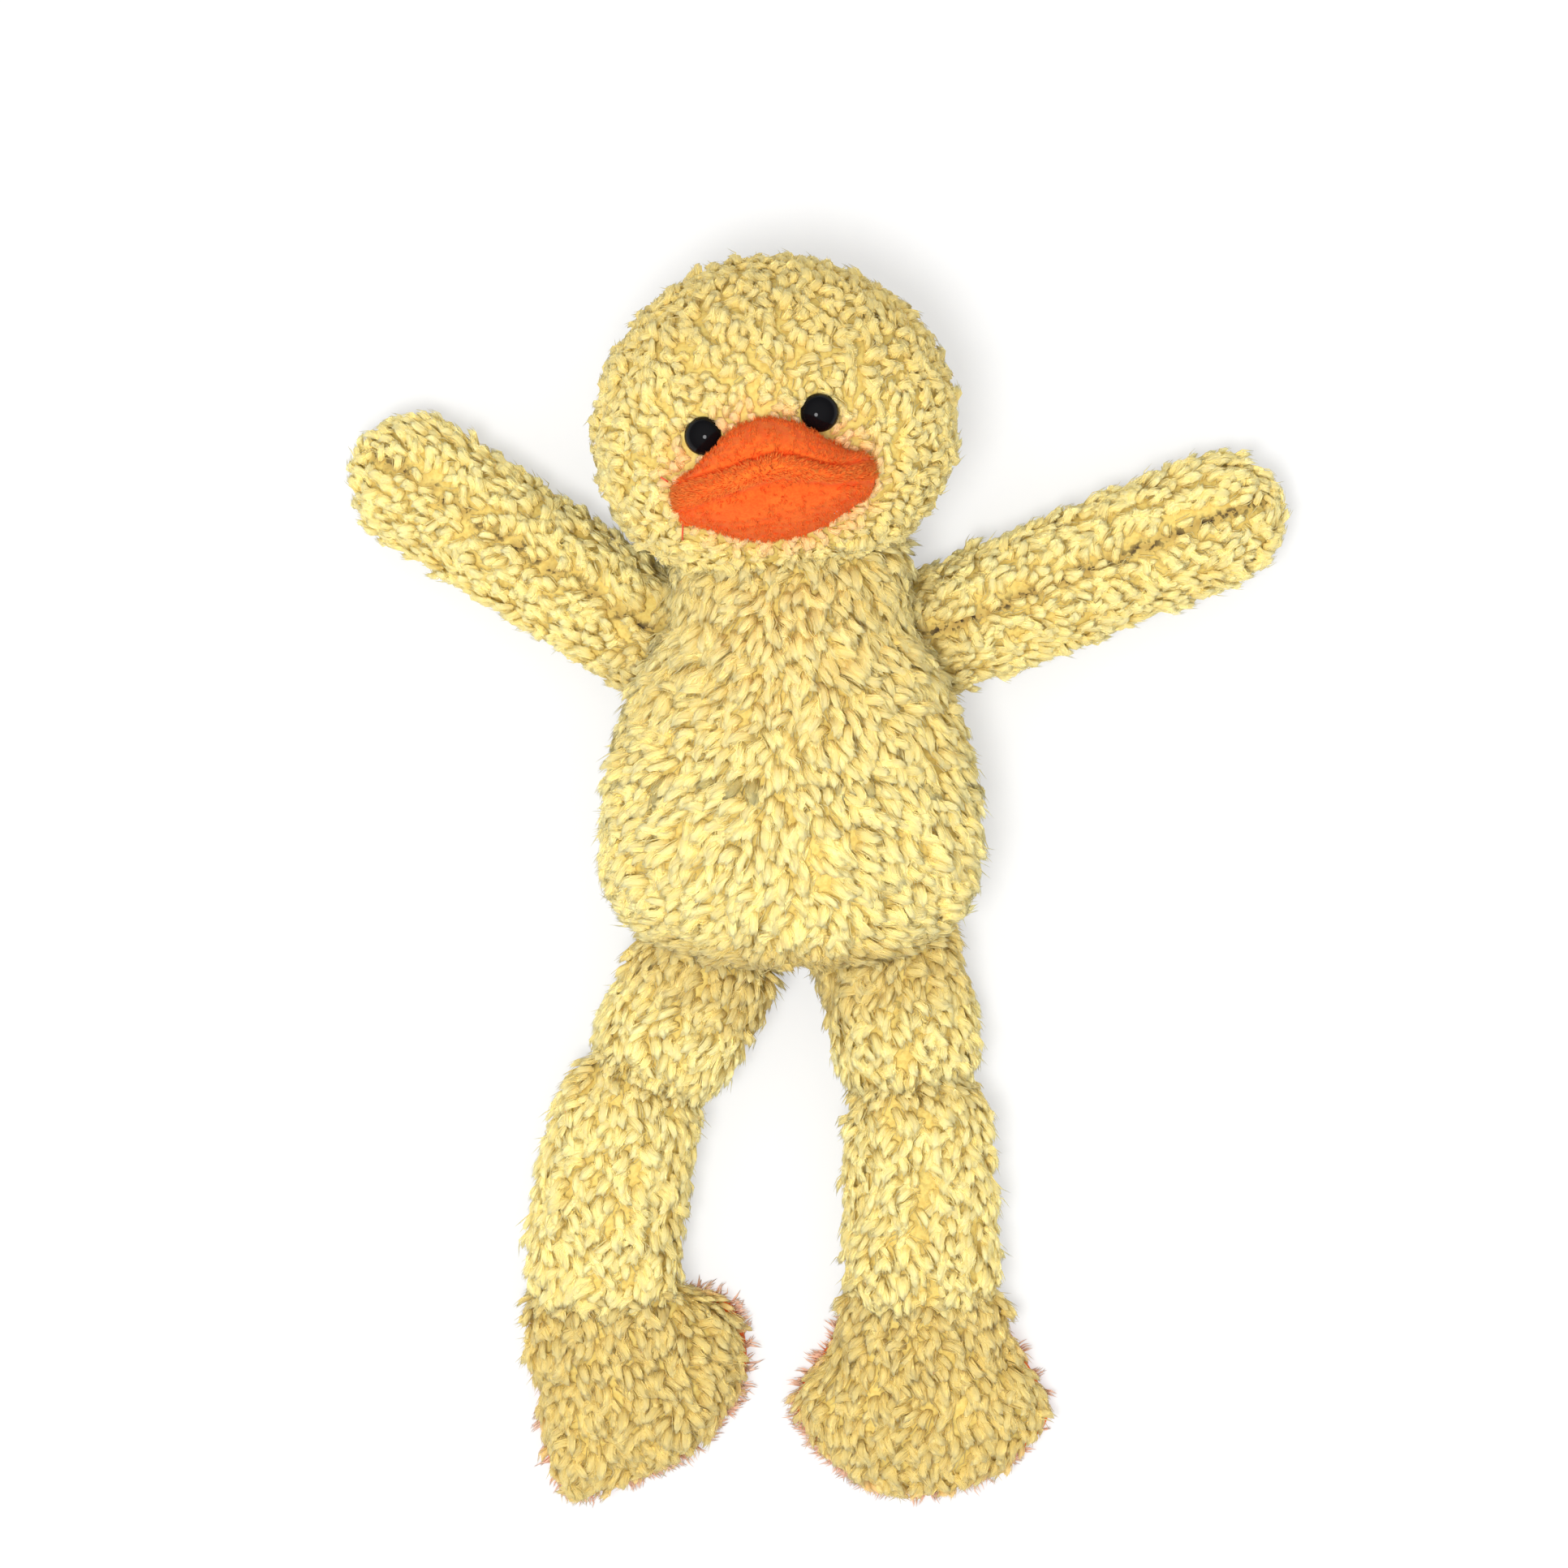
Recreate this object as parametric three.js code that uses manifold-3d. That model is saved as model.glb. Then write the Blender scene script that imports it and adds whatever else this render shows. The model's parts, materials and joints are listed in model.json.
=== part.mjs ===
// Plush duckling lying on its back, arms raised and legs apart, with its head tilted to one side.
//
// Millimetres. The floor is z = 0, +Y runs from the seat to the head and +Z from the back to the belly.
// The origin is on the floor under the middle of the belly. Left and right are the toy's own sides,
// so its left arm is on +X.
//
// Every stuffed piece is a fleece cover with loose filling inside. A limb's cover is one piece of fleece
// wrapped round and closed by a long seam. Each limb turns in its neighbour on a rounded root.

import * as THREE from 'three';
import { mergeVertices } from 'three/addons/utils/BufferGeometryUtils.js';
import Module from 'manifold-3d';

const wasm = await Module();
wasm.setup();

const { degToRad, lerp, smoothstep } = THREE.MathUtils;

// Clearances and fabrics
const GAP = 0.3; // between two pieces that touch
const SOCKET_GAP = 0.5; // round a limb's rounded root
const COVER = 6; // fleece: knitted backing and its curled pile
const BILL_FABRIC = 2; // short velvet plush
const SOLE = 2.2; // velvet plush sole
const SEAM = 0.6; // opening between the sewn edges of a limb's cover
const PRESSED_FLAT = 0.5; // how far a stuffed piece is flattened where it lies on the floor

// Body: a barrel that closes at the seat and rises to a ball-shaped neck
const BELLY_HALF_WIDTH = 44;
const BELLY_HALF_DEPTH = 30;
const NECK_RADIUS = 27;
const BELLY_Y = -6; // widest part of the belly
const SEAT_TO_BELLY = 29.5;
const BELLY_TO_NECK = 50.4;
const SEAT_ROUNDNESS = 2.6;
const SHOULDER_FULLNESS = 2.2;

// Head
const HEAD_HALF_WIDTH = 42.6;
const HEAD_HALF_HEIGHT = 38.5;
const HEAD_HALF_DEPTH = 40;
const JAW_FULLNESS = 0.05; // how much wider the cheeks are than the crown
const NECK_TO_HEAD = 47.5; // between the neck ball's centre and the head's
const HEAD_LEAN = 5; // degrees that the head's centre leans to the toy's right
const HEAD_TILT = 11; // degrees that the face is tilted
const FACE_TURN = -5; // degrees that the face is turned to the toy's right

// Bill: a flat velvet pouch of an upper and a lower panel, sewn to the face
const BILL_HALF_WIDTH = 22.5;
const BILL_HALF_HEIGHT = 13.5;
const BILL_REACH = 19;
const BILL_DROP = 15.5; // below the middle of the face
const BILL_TILT = -5; // degrees that the bill hangs back from the tilt of the head
const BILL_POINTEDNESS = 1.5; // of the rim, where the two panels meet
const BILL_ROUNDNESS = { upper: 1.25, lower: 2.2 }; // of each panel's edge on the face

// Safety eyes: a domed button on a shank, held by a washer inside the cover
const EYE_RADIUS = 4.5;
const EYE_DOME = 3.6;
const EYE_FLANGE = 1;
const EYE_SINK = 1.2; // how deep the button's underside lies in the fleece
const EYE_SPREAD = 14; // from the middle of the face to each eye
const EYE_RISE = -2; // above the middle of the face
const SHANK_RADIUS = 1.8;
const SHANK_LENGTH = 11;
const WASHER_RADIUS = 6;
const WASHER_THICKNESS = 1.4;
const WASHER_STANDOFF = 0.8; // below the cover's hollow inner face

// Arms
const ARM_REACH = { left: 91, right: 84 };
const ARM_DIRECTION = { left: 22, right: 147 };
const ARM_HALF_WIDTH = 15.8;
const ARM_HALF_DEPTH = 13.5;
const ARM_ROOT_RADIUS = 11;
const ARM_ROOT_HALF_DEPTH = 11.5;
const ARM_SWELL = 27; // over which the root widens to the full arm
const ARM_TIP = 17; // over which the end is rounded
const ARM_LOWERED = { left: -48, right: 58 }; // degrees from the arm's rest to its lowest place
const SHOULDER_Y = 42;
const SHOULDER_STANDOFF = 9.5; // from the body's side to the shoulder's turning point

// Legs
const HIP_X = { left: 24, right: -22 };
const HIP_STANDOFF = 9.5; // from the seat to the hip's turning point
const HIP_RAISED = 52; // degrees from the thigh's rest to its highest place
const LEG_HALF_DEPTH = 16;
const THIGH_LENGTH = { left: 25, right: 23 }; // hip to knee, along the toy
const THIGH_HALF_WIDTH = 17;
const THIGH_SLANT = { left: 13, right: -28 }; // degrees that it points to the toy's left
const SHIN_LENGTH = { left: 53.5, right: 55 }; // knee to ankle, along the toy
const SHIN_HALF_WIDTH = 16.7; // under the knee
const CALF_HALF_WIDTH = 18.5; // above the ankle
const SHIN_SLANT = { left: 2, right: -9.5 };
const SHIN_BOW = { left: 0, right: -4.5 }; // how far a shin curves to the toy's left
const LEG_ROOT_RADIUS = 11.5;
const LEG_ROOT_HALF_WIDTH = 15.5;
const LEG_SWELL = 17;
const LEG_END = 8; // over which the lower end of a leg piece is rounded
const LEG_END_SHORT = 7; // from a leg piece's lower end to the next turning point

// Feet: webbed fans with a fleece top and a velvet sole
const FOOT_WIDTH = 64;
const FOOT_LENGTH = 50;
const FOOT_HEIGHT = 21;
const INSTEP_HALF_WIDTH = 20;
const INSTEP_HALF_DEPTH = 12;
const INSTEP_LENGTH = 20;
const ANKLE_RADIUS = 10;
const ANKLE_HALF_WIDTH = 17;
const ANKLE_HEIGHT = 12.5;
// Footprints as shares of the foot's width and length, from the ankle, the toes towards -Y
const FOOTPRINT = {
  left: [[0.28, -0.06], [0.4, -0.26], [0.5, -0.54], [0.4, -0.74], [0.16, -0.92], [-0.1, -0.96],
    [-0.36, -0.78], [-0.5, -0.5], [-0.38, -0.22], [-0.27, -0.06], [0, -0.04]],
  right: [[0.39, 0.11], [0.48, 0.04], [0.53, -0.2], [0.5, -0.46], [0.32, -0.73], [0.06, -0.9],
    [-0.14, -0.96], [-0.25, -0.8], [-0.29, -0.42], [-0.26, -0.08], [0, -0.04], [0.26, -0.04]],
};

// Facets: round the outside of each piece, and round its hollow and its filling
const SIDES = { head: 20, body: 20, limb: 14, foot: 18, bill: 16 };
const INNER_SIDES = { head: 12, body: 12, limb: 8, foot: 12, bill: 10 };
const SOCKET_SIDES = 18;
const NECK_SIDES = 28;
const EYE_SIDES = 16;
const PAST = 60; // trimming blocks reach this far past what they cut

const MATERIALS = {
  fleece: new THREE.MeshStandardMaterial({ color: 0xe6d68c, roughness: 0.95, metalness: 0 }),
  velvet: new THREE.MeshStandardMaterial({ color: 0xf47a33, roughness: 0.85, metalness: 0 }),
  eye: new THREE.MeshStandardMaterial({ color: 0x0b0b0c, roughness: 0.12, metalness: 0 }),
  washer: new THREE.MeshStandardMaterial({ color: 0xe9e8e2, roughness: 0.5, metalness: 0 }),
  filling: new THREE.MeshStandardMaterial({ color: 0xf3f1ea, roughness: 1, metalness: 0 }),
};

// Solids

function toSolid(geometry) {
  const bare = geometry.clone();
  bare.deleteAttribute('normal');
  bare.deleteAttribute('uv');
  const merged = mergeVertices(bare);
  return new wasm.Manifold(new wasm.Mesh({
    numProp: 3,
    vertProperties: new Float32Array(merged.attributes.position.array),
    triVerts: new Uint32Array(merged.index.array),
  }));
}

function toMesh(name, solid, material) {
  const { vertProperties, triVerts } = solid.getMesh();
  const geometry = new THREE.BufferGeometry();
  geometry.setAttribute('position', new THREE.BufferAttribute(vertProperties, 3));
  geometry.setIndex(new THREE.BufferAttribute(triVerts, 1));
  geometry.computeVertexNormals();
  const mesh = new THREE.Mesh(geometry, material);
  mesh.name = name;
  return mesh;
}

function block(low, high) {
  const size = new THREE.Vector3().subVectors(high, low);
  const middle = new THREE.Vector3().addVectors(low, high).multiplyScalar(0.5);
  return toSolid(new THREE.BoxGeometry(size.x, size.y, size.z).translate(middle.x, middle.y, middle.z));
}

function above(z, reach = 4 * PAST) {
  return block(new THREE.Vector3(-reach, -reach, z), new THREE.Vector3(reach, reach, z + 2 * reach));
}

function below(z, reach = 4 * PAST) {
  return block(new THREE.Vector3(-reach, -reach, z - 2 * reach), new THREE.Vector3(reach, reach, z));
}

// An ellipsoid round a turning point, fine enough that a limb's root turns freely in it.
function ball(radii, centre, turn = 0, sides = SOCKET_SIDES) {
  const geometry = new THREE.SphereGeometry(1, sides, Math.round(sides / 2));
  geometry.scale(radii.x, radii.y, radii.z).rotateZ(turn).translate(centre.x, centre.y, centre.z);
  return toSolid(geometry);
}

// A rod along an axis, from one distance to another.
function rod(radius, from, to, placement) {
  const geometry = new THREE.CylinderGeometry(radius, radius, to - from, EYE_SIDES);
  geometry.rotateX(Math.PI / 2).translate(0, 0, (from + to) / 2).applyMatrix4(placement);
  return toSolid(geometry);
}

// A closed skin over cross-sections along X. Each has its place x, its offset y and its half sizes,
// with its own half width on the -Y side if that differs.
function loft(sections, sides, pointedness = 2) {
  const positions = [];
  const faces = [];
  const power = 2 / pointedness;
  for (const { x, y = 0, width, narrow = width, depth } of sections) {
    for (let k = 0; k < sides; k += 1) {
      const angle = (2 * Math.PI * k) / sides;
      const across = Math.sign(Math.cos(angle)) * Math.abs(Math.cos(angle)) ** power;
      const up = Math.sign(Math.sin(angle)) * Math.abs(Math.sin(angle)) ** power;
      positions.push(x, y + (across > 0 ? width : narrow) * across, depth * up);
    }
  }
  for (let i = 0; i + 1 < sections.length; i += 1) {
    for (let k = 0; k < sides; k += 1) {
      const next = (k + 1) % sides;
      const [a, b, c, d] = [i * sides + k, i * sides + next, (i + 1) * sides + k, (i + 1) * sides + next];
      faces.push(a, b, c, b, d, c);
    }
  }
  const last = (sections.length - 1) * sides;
  const [first, end] = [positions.length / 3, positions.length / 3 + 1];
  positions.push(sections[0].x, sections[0].y ?? 0, 0);
  positions.push(sections.at(-1).x, sections.at(-1).y ?? 0, 0);
  for (let k = 0; k < sides; k += 1) {
    const next = (k + 1) % sides;
    faces.push(first, next, k, end, last + k, last + next);
  }
  const geometry = new THREE.BufferGeometry();
  geometry.setAttribute('position', new THREE.Float32BufferAttribute(positions, 3));
  geometry.setIndex(faces);
  return geometry;
}

// Places spaced evenly from one value to another, both ends included.
function spaced(from, to, count) {
  return Array.from({ length: count }, (_, i) => lerp(from, to, i / (count - 1)));
}

// How far round a closing end each section lies, from full width to almost shut.
const CLOSING = { outer: [28, 53, 77].map(degToRad), inner: [36, 68].map(degToRad) };
const closingOf = (inset) => (inset > GAP ? CLOSING.inner : CLOSING.outer);

// Limbs, each built along +X from its turning point

function limbForm(limb, inset, sides) {
  const { reach, root, swell, end, roundness } = limb;
  const rootReach = root.reach - inset;
  const endStart = reach - end;
  const closing = closingOf(inset);
  const sections = closing.toReversed().map((angle) => ({
    x: -rootReach * Math.sin(angle),
    width: (root.width - inset) * Math.cos(angle),
    depth: (root.depth - inset) * Math.cos(angle),
  }));
  const fullAt = (x) => {
    const share = smoothstep(x, 0, swell);
    return {
      x,
      y: Math.max(x, 0) * Math.tan(degToRad(limb.slant)) + limb.bow * Math.sin((Math.PI * Math.max(x, 0)) / reach),
      width: lerp(root.width, limb.widthAt(x / reach), share) - inset,
      depth: lerp(root.depth, limb.depth, share) - inset,
    };
  };
  sections.push(...spaced(0, endStart, limb.steps).map(fullAt));
  for (const angle of closing) {
    const x = endStart + (end - inset) * Math.sin(angle);
    const shut = (1 - Math.sin(angle) ** roundness) ** (1 / roundness);
    const full = fullAt(x);
    sections.push({ ...full, width: full.width * shut, depth: full.depth * shut });
  }
  return toSolid(loft(sections, sides));
}

// The seam that closes a limb's cover, a slit along the top or, turned, along a side.
function seamSlit(limb, turn) {
  const slit = new THREE.BoxGeometry(limb.reach - limb.end, SEAM, PAST);
  slit.translate((limb.reach - limb.end) / 2, 0, PAST / 2).rotateX(turn).rotateZ(degToRad(limb.slant));
  return toSolid(slit);
}

function limbPieces(name, limb, height, seamTurn, socket) {
  const floor = above(-height);
  const hollow = limbForm(limb, COVER, INNER_SIDES.limb);
  const tube = limbForm(limb, 0, SIDES.limb).subtract(hollow).subtract(seamSlit(limb, seamTurn)).intersect(floor);
  const cover = socket ? tube.subtract(socket) : tube;
  const filling = limbForm(limb, COVER + GAP, INNER_SIDES.limb);
  return [
    toMesh(`${name}_cover`, cover, MATERIALS.fleece),
    toMesh(`${name}_filling`, filling, MATERIALS.filling),
  ];
}

function turningGroup(place, degrees, pieces) {
  const group = new THREE.Group();
  group.position.copy(place);
  group.rotation.z = degToRad(degrees);
  group.add(...pieces);
  return group;
}

// Where a point in a turned group's own axes lies in its parent.
function along(distance, degrees, start) {
  const angle = degToRad(degrees);
  return new THREE.Vector3(distance * Math.cos(angle), distance * Math.sin(angle), 0).add(start);
}

function armLimb(side) {
  return {
    reach: ARM_REACH[side],
    root: { reach: ARM_ROOT_RADIUS, width: ARM_ROOT_RADIUS, depth: ARM_ROOT_HALF_DEPTH },
    widthAt: () => ARM_HALF_WIDTH,
    depth: ARM_HALF_DEPTH,
    swell: ARM_SWELL,
    end: ARM_TIP,
    roundness: 2,
    slant: 0,
    bow: 0,
    steps: 6,
  };
}

const legPiece = {
  root: { reach: LEG_ROOT_RADIUS, width: LEG_ROOT_HALF_WIDTH, depth: LEG_ROOT_RADIUS },
  depth: LEG_HALF_DEPTH,
  swell: LEG_SWELL,
  end: LEG_END,
  roundness: 2.6,
  bow: 0,
};

function thighLimb(side) {
  return {
    ...legPiece,
    reach: THIGH_LENGTH[side] - LEG_END_SHORT,
    widthAt: () => THIGH_HALF_WIDTH,
    slant: THIGH_SLANT[side],
    steps: 3,
  };
}

function shinLimb(side) {
  return {
    ...legPiece,
    reach: SHIN_LENGTH[side] - LEG_END_SHORT,
    widthAt: (share) => lerp(SHIN_HALF_WIDTH, CALF_HALF_WIDTH, share),
    slant: SHIN_SLANT[side],
    bow: SHIN_BOW[side],
    steps: 5,
  };
}

// Body

const bodyHeight = BELLY_HALF_DEPTH - PRESSED_FLAT;
const neck = new THREE.Vector3(0, BELLY_Y + BELLY_TO_NECK, bodyHeight);

// Half width and half depth of the body at a height above the seat, drawn in by an inset.
function bodySection(y, inset) {
  const seat = SEAT_TO_BELLY - inset;
  const fromBelly = y - BELLY_Y;
  const closing = fromBelly < 0 ? (1 - (-fromBelly / seat) ** SEAT_ROUNDNESS) ** (1 / SEAT_ROUNDNESS) : 1;
  const shoulder = 1 - Math.max(fromBelly / BELLY_TO_NECK, 0) ** SHOULDER_FULLNESS;
  return {
    x: y,
    width: (lerp(NECK_RADIUS, BELLY_HALF_WIDTH, shoulder) - inset) * closing,
    depth: (lerp(NECK_RADIUS, BELLY_HALF_DEPTH, shoulder) - inset) * closing,
  };
}

function bodyForm(inset, sides) {
  const seat = SEAT_TO_BELLY - inset;
  const radius = NECK_RADIUS - inset;
  const closing = closingOf(inset);
  const sections = [
    ...closing.toReversed().map((angle) => bodySection(BELLY_Y - seat * Math.sin(angle), inset)),
    ...spaced(BELLY_Y, neck.y, 6).map((y) => bodySection(y, inset)),
    ...closing.map((angle) => ({
      x: neck.y + radius * Math.sin(angle),
      width: radius * Math.cos(angle),
      depth: radius * Math.cos(angle),
    })),
  ];
  return toSolid(loft(sections, sides).rotateZ(Math.PI / 2).translate(0, 0, bodyHeight));
}

// Half width of the body's side at a height above the floor, where an arm is sewn on.
function bodySide(y, z) {
  const { width, depth } = bodySection(y, 0);
  return width * Math.sqrt(1 - ((z - bodyHeight) / depth) ** 2);
}

// The seat's lowest point at a distance from the middle, where a leg is sewn on.
function seatBottom(x, z) {
  const drop = Math.hypot(x / BELLY_HALF_WIDTH, (z - bodyHeight) / BELLY_HALF_DEPTH);
  return BELLY_Y - SEAT_TO_BELLY * (1 - drop ** SEAT_ROUNDNESS) ** (1 / SEAT_ROUNDNESS);
}

const armHeight = ARM_HALF_DEPTH - PRESSED_FLAT;
const legHeight = LEG_HALF_DEPTH - PRESSED_FLAT;
const shoulderX = bodySide(SHOULDER_Y, armHeight) + SHOULDER_STANDOFF;
const shoulders = {
  left: new THREE.Vector3(shoulderX, SHOULDER_Y, armHeight),
  right: new THREE.Vector3(-shoulderX, SHOULDER_Y, armHeight),
};
const hipAt = (x) => new THREE.Vector3(x, seatBottom(x, legHeight) - HIP_STANDOFF, legHeight);
const hips = { left: hipAt(HIP_X.left), right: hipAt(HIP_X.right) };

// A hollow for a rounded root that turns about an axis across the toy, in a leg's own axes.
function rootSocket(radius, halfWidth, centre) {
  const round = radius + SOCKET_GAP;
  return ball(new THREE.Vector3(round, halfWidth + SOCKET_GAP, round), centre);
}

// A leg's own axes: +X down the leg, +Y to the toy's left.
const DOWN_THE_LEG = -90;

function hipSocket(side) {
  const socket = rootSocket(LEG_ROOT_RADIUS, LEG_ROOT_HALF_WIDTH, new THREE.Vector3());
  return socket.rotate([0, 0, DOWN_THE_LEG]).translate(hips[side].toArray());
}

function armSocket(side) {
  const radius = ARM_ROOT_RADIUS + SOCKET_GAP;
  return ball(new THREE.Vector3(radius, radius, ARM_ROOT_HALF_DEPTH + SOCKET_GAP), shoulders[side]);
}

// The dents that a limb presses into the body at and near the end of its range.
function armDent(side) {
  const form = limbForm(armLimb(side), -GAP, SIDES.limb);
  const dents = [0.85, 1].map((share) => form
    .rotate([0, 0, ARM_DIRECTION[side] + share * ARM_LOWERED[side]])
    .translate(shoulders[side].toArray()));
  return dents[0].add(dents[1]);
}

function thighDent(side) {
  const form = limbForm(thighLimb(side), -GAP, SIDES.limb);
  const dents = [0.9, 1].map((share) => form
    .rotate([0, -share * HIP_RAISED, 0])
    .rotate([0, 0, DOWN_THE_LEG])
    .translate(hips[side].toArray()));
  return dents[0].add(dents[1]);
}

function bodySockets() {
  const cuts = ['left', 'right'].flatMap((side) => [
    armSocket(side), hipSocket(side), armDent(side), thighDent(side),
  ]);
  return cuts.reduce((all, cut) => all.add(cut));
}

function bodyPieces() {
  const sockets = bodySockets();
  const shell = bodyForm(0, SIDES.body).subtract(bodyForm(COVER, INNER_SIDES.body)).subtract(sockets);
  const filling = bodyForm(COVER + GAP, INNER_SIDES.body);
  return [
    toMesh('body_front', shell.intersect(above(bodyHeight + GAP / 2)), MATERIALS.fleece),
    toMesh('body_back', shell.intersect(below(bodyHeight - GAP / 2)).intersect(above(0)), MATERIALS.fleece),
    toMesh('body_filling', filling, MATERIALS.filling),
  ];
}

// Head, built round its own centre with the face towards +Z and the crown towards +Y

const headHeight = HEAD_HALF_DEPTH - PRESSED_FLAT;
const headCentre = along(NECK_TO_HEAD, 90 + HEAD_LEAN, neck).setZ(headHeight);

function headForm(inset, sides) {
  const closing = closingOf(inset);
  const angles = [...closing.toReversed().map((angle) => -angle), 0, ...closing];
  const sections = angles.map((angle) => ({
    x: (HEAD_HALF_HEIGHT - inset) * Math.sin(angle),
    width: (HEAD_HALF_WIDTH - inset) * Math.cos(angle) * (1 - JAW_FULLNESS * Math.sin(angle)),
    depth: (HEAD_HALF_DEPTH - inset) * Math.cos(angle),
  }));
  return toSolid(loft(sections, sides).rotateZ(Math.PI / 2));
}

// How far in front of the head's centre its surface lies.
function faceDepth(x, y) {
  return HEAD_HALF_DEPTH * Math.sqrt(1 - (x / HEAD_HALF_WIDTH) ** 2 - (y / HEAD_HALF_HEIGHT) ** 2);
}

const faceTurn = new THREE.Matrix4().makeRotationY(degToRad(FACE_TURN));

// An eye's own frame: its middle on the face's surface and +Z straight out of it.
function eyePlacement(side) {
  const [x, y] = [side * EYE_SPREAD, EYE_RISE];
  const middle = new THREE.Vector3(x, y, faceDepth(x, y));
  const outwards = new THREE.Vector3(
    x / HEAD_HALF_WIDTH ** 2, y / HEAD_HALF_HEIGHT ** 2, middle.z / HEAD_HALF_DEPTH ** 2,
  ).normalize();
  const facing = new THREE.Quaternion().setFromUnitVectors(new THREE.Vector3(0, 0, 1), outwards);
  const placed = new THREE.Matrix4().compose(middle, facing, new THREE.Vector3(1, 1, 1));
  return faceTurn.clone().multiply(placed);
}

const eyePlacements = { left: eyePlacement(1), right: eyePlacement(-1) };
const eyeUnderside = -EYE_SINK;
const washerTop = -COVER - WASHER_STANDOFF;

function lathe(profile, placement) {
  const points = profile.map(([radius, height]) => new THREE.Vector2(radius, height));
  const geometry = new THREE.LatheGeometry(points, EYE_SIDES).rotateX(Math.PI / 2).applyMatrix4(placement);
  return toSolid(geometry);
}

function eyeButton(placement) {
  const flangeTop = eyeUnderside + EYE_FLANGE;
  const dome = [0, 25, 50, 72].map(degToRad).map((angle) => [
    EYE_RADIUS * Math.cos(angle),
    flangeTop + EYE_DOME * Math.sin(angle),
  ]);
  return lathe([
    [0, -SHANK_LENGTH], [SHANK_RADIUS, -SHANK_LENGTH], [SHANK_RADIUS, eyeUnderside],
    [EYE_RADIUS, eyeUnderside], ...dome, [0, flangeTop + EYE_DOME],
  ], placement);
}

function eyeWasher(placement) {
  const bore = SHANK_RADIUS + GAP;
  const low = washerTop - WASHER_THICKNESS;
  const ring = [[bore, low], [WASHER_RADIUS, low], [WASHER_RADIUS, washerTop], [bore, washerTop], [bore, low]];
  return lathe(ring, placement);
}

// What an eye takes out of the cover: a seat for the button, a hole for its shank, room for its washer.
function eyeSeat(placement) {
  const seat = rod(EYE_RADIUS + GAP, eyeUnderside - GAP, PAST / 4, placement);
  const hole = rod(SHANK_RADIUS + GAP, -2 * SHANK_LENGTH, 0, placement);
  const room = rod(WASHER_RADIUS + GAP, -2 * SHANK_LENGTH, washerTop + GAP, placement);
  return seat.add(hole).add(room);
}

// What the shank and its washer push out of the filling.
function eyePocket(placement) {
  return rod(WASHER_RADIUS + GAP, -SHANK_LENGTH - GAP, 0, placement);
}

const billPlacement = faceTurn.clone()
  .multiply(new THREE.Matrix4().makeTranslation(0, -BILL_DROP, faceDepth(0, BILL_DROP)))
  .multiply(new THREE.Matrix4().makeRotationZ(degToRad(BILL_TILT)));

function billForm(inset, sides) {
  const shutAt = (share, roundness) => (1 - Math.abs(share) ** roundness) ** (1 / roundness);
  const sections = [-0.99, -0.9, -0.7, -0.4, 0, 0.4, 0.7, 0.9, 0.99].map((share) => ({
    x: (BILL_HALF_WIDTH - inset) * share,
    width: (BILL_HALF_HEIGHT - inset) * shutAt(share, BILL_ROUNDNESS.upper),
    narrow: (BILL_HALF_HEIGHT - inset) * shutAt(share, BILL_ROUNDNESS.lower),
    depth: (BILL_REACH - inset) * shutAt(share, BILL_ROUNDNESS.lower),
  }));
  return toSolid(loft(sections, sides, BILL_POINTEDNESS).applyMatrix4(billPlacement));
}

// The room above or below the bill's own middle plane.
function half(side) {
  const [low, high] = side > 0 ? [GAP / 2, PAST] : [-PAST, -GAP / 2];
  const room = block(new THREE.Vector3(-PAST, low, -PAST), new THREE.Vector3(PAST, high, PAST));
  return room.transform(billPlacement.elements);
}

function headPieces() {
  const nape = new THREE.Vector3().subVectors(neck, headCentre);
  nape.applyAxisAngle(new THREE.Vector3(0, 0, 1), -degToRad(HEAD_TILT));
  const radius = NECK_RADIUS + SOCKET_GAP;
  const dish = ball(new THREE.Vector3(radius, radius, radius), nape, 0, NECK_SIDES);
  const seats = eyeSeat(eyePlacements.left).add(eyeSeat(eyePlacements.right));
  const pockets = eyePocket(eyePlacements.left).add(eyePocket(eyePlacements.right));
  const form = headForm(0, SIDES.head);
  const shell = form.subtract(headForm(COVER, INNER_SIDES.head)).subtract(dish).subtract(seats);
  const face = headForm(-GAP, SIDES.head);
  const pouch = billForm(0, SIDES.bill).subtract(billForm(BILL_FABRIC, INNER_SIDES.bill)).subtract(face);
  return [
    toMesh('head_front', shell.intersect(above(GAP / 2)), MATERIALS.fleece),
    toMesh('head_back', shell.intersect(below(-GAP / 2)).intersect(above(-headHeight)), MATERIALS.fleece),
    toMesh('head_filling', headForm(COVER + GAP, INNER_SIDES.head).subtract(dish).subtract(pockets), MATERIALS.filling),
    toMesh('bill_upper', pouch.intersect(half(1)), MATERIALS.velvet),
    toMesh('bill_lower', pouch.intersect(half(-1)), MATERIALS.velvet),
    toMesh('bill_filling', billForm(BILL_FABRIC + GAP, INNER_SIDES.bill).subtract(face), MATERIALS.filling),
    ...['left', 'right'].flatMap((side) => [
      toMesh(`${side}_eye`, eyeButton(eyePlacements[side]), MATERIALS.eye),
      toMesh(`${side}_eye_washer`, eyeWasher(eyePlacements[side]), MATERIALS.washer),
    ]),
  ];
}

// Arms and legs

function arm(side) {
  const pieces = limbPieces(`${side}_arm`, armLimb(side), armHeight, 0);
  return turningGroup(shoulders[side], ARM_DIRECTION[side], pieces);
}

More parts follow.
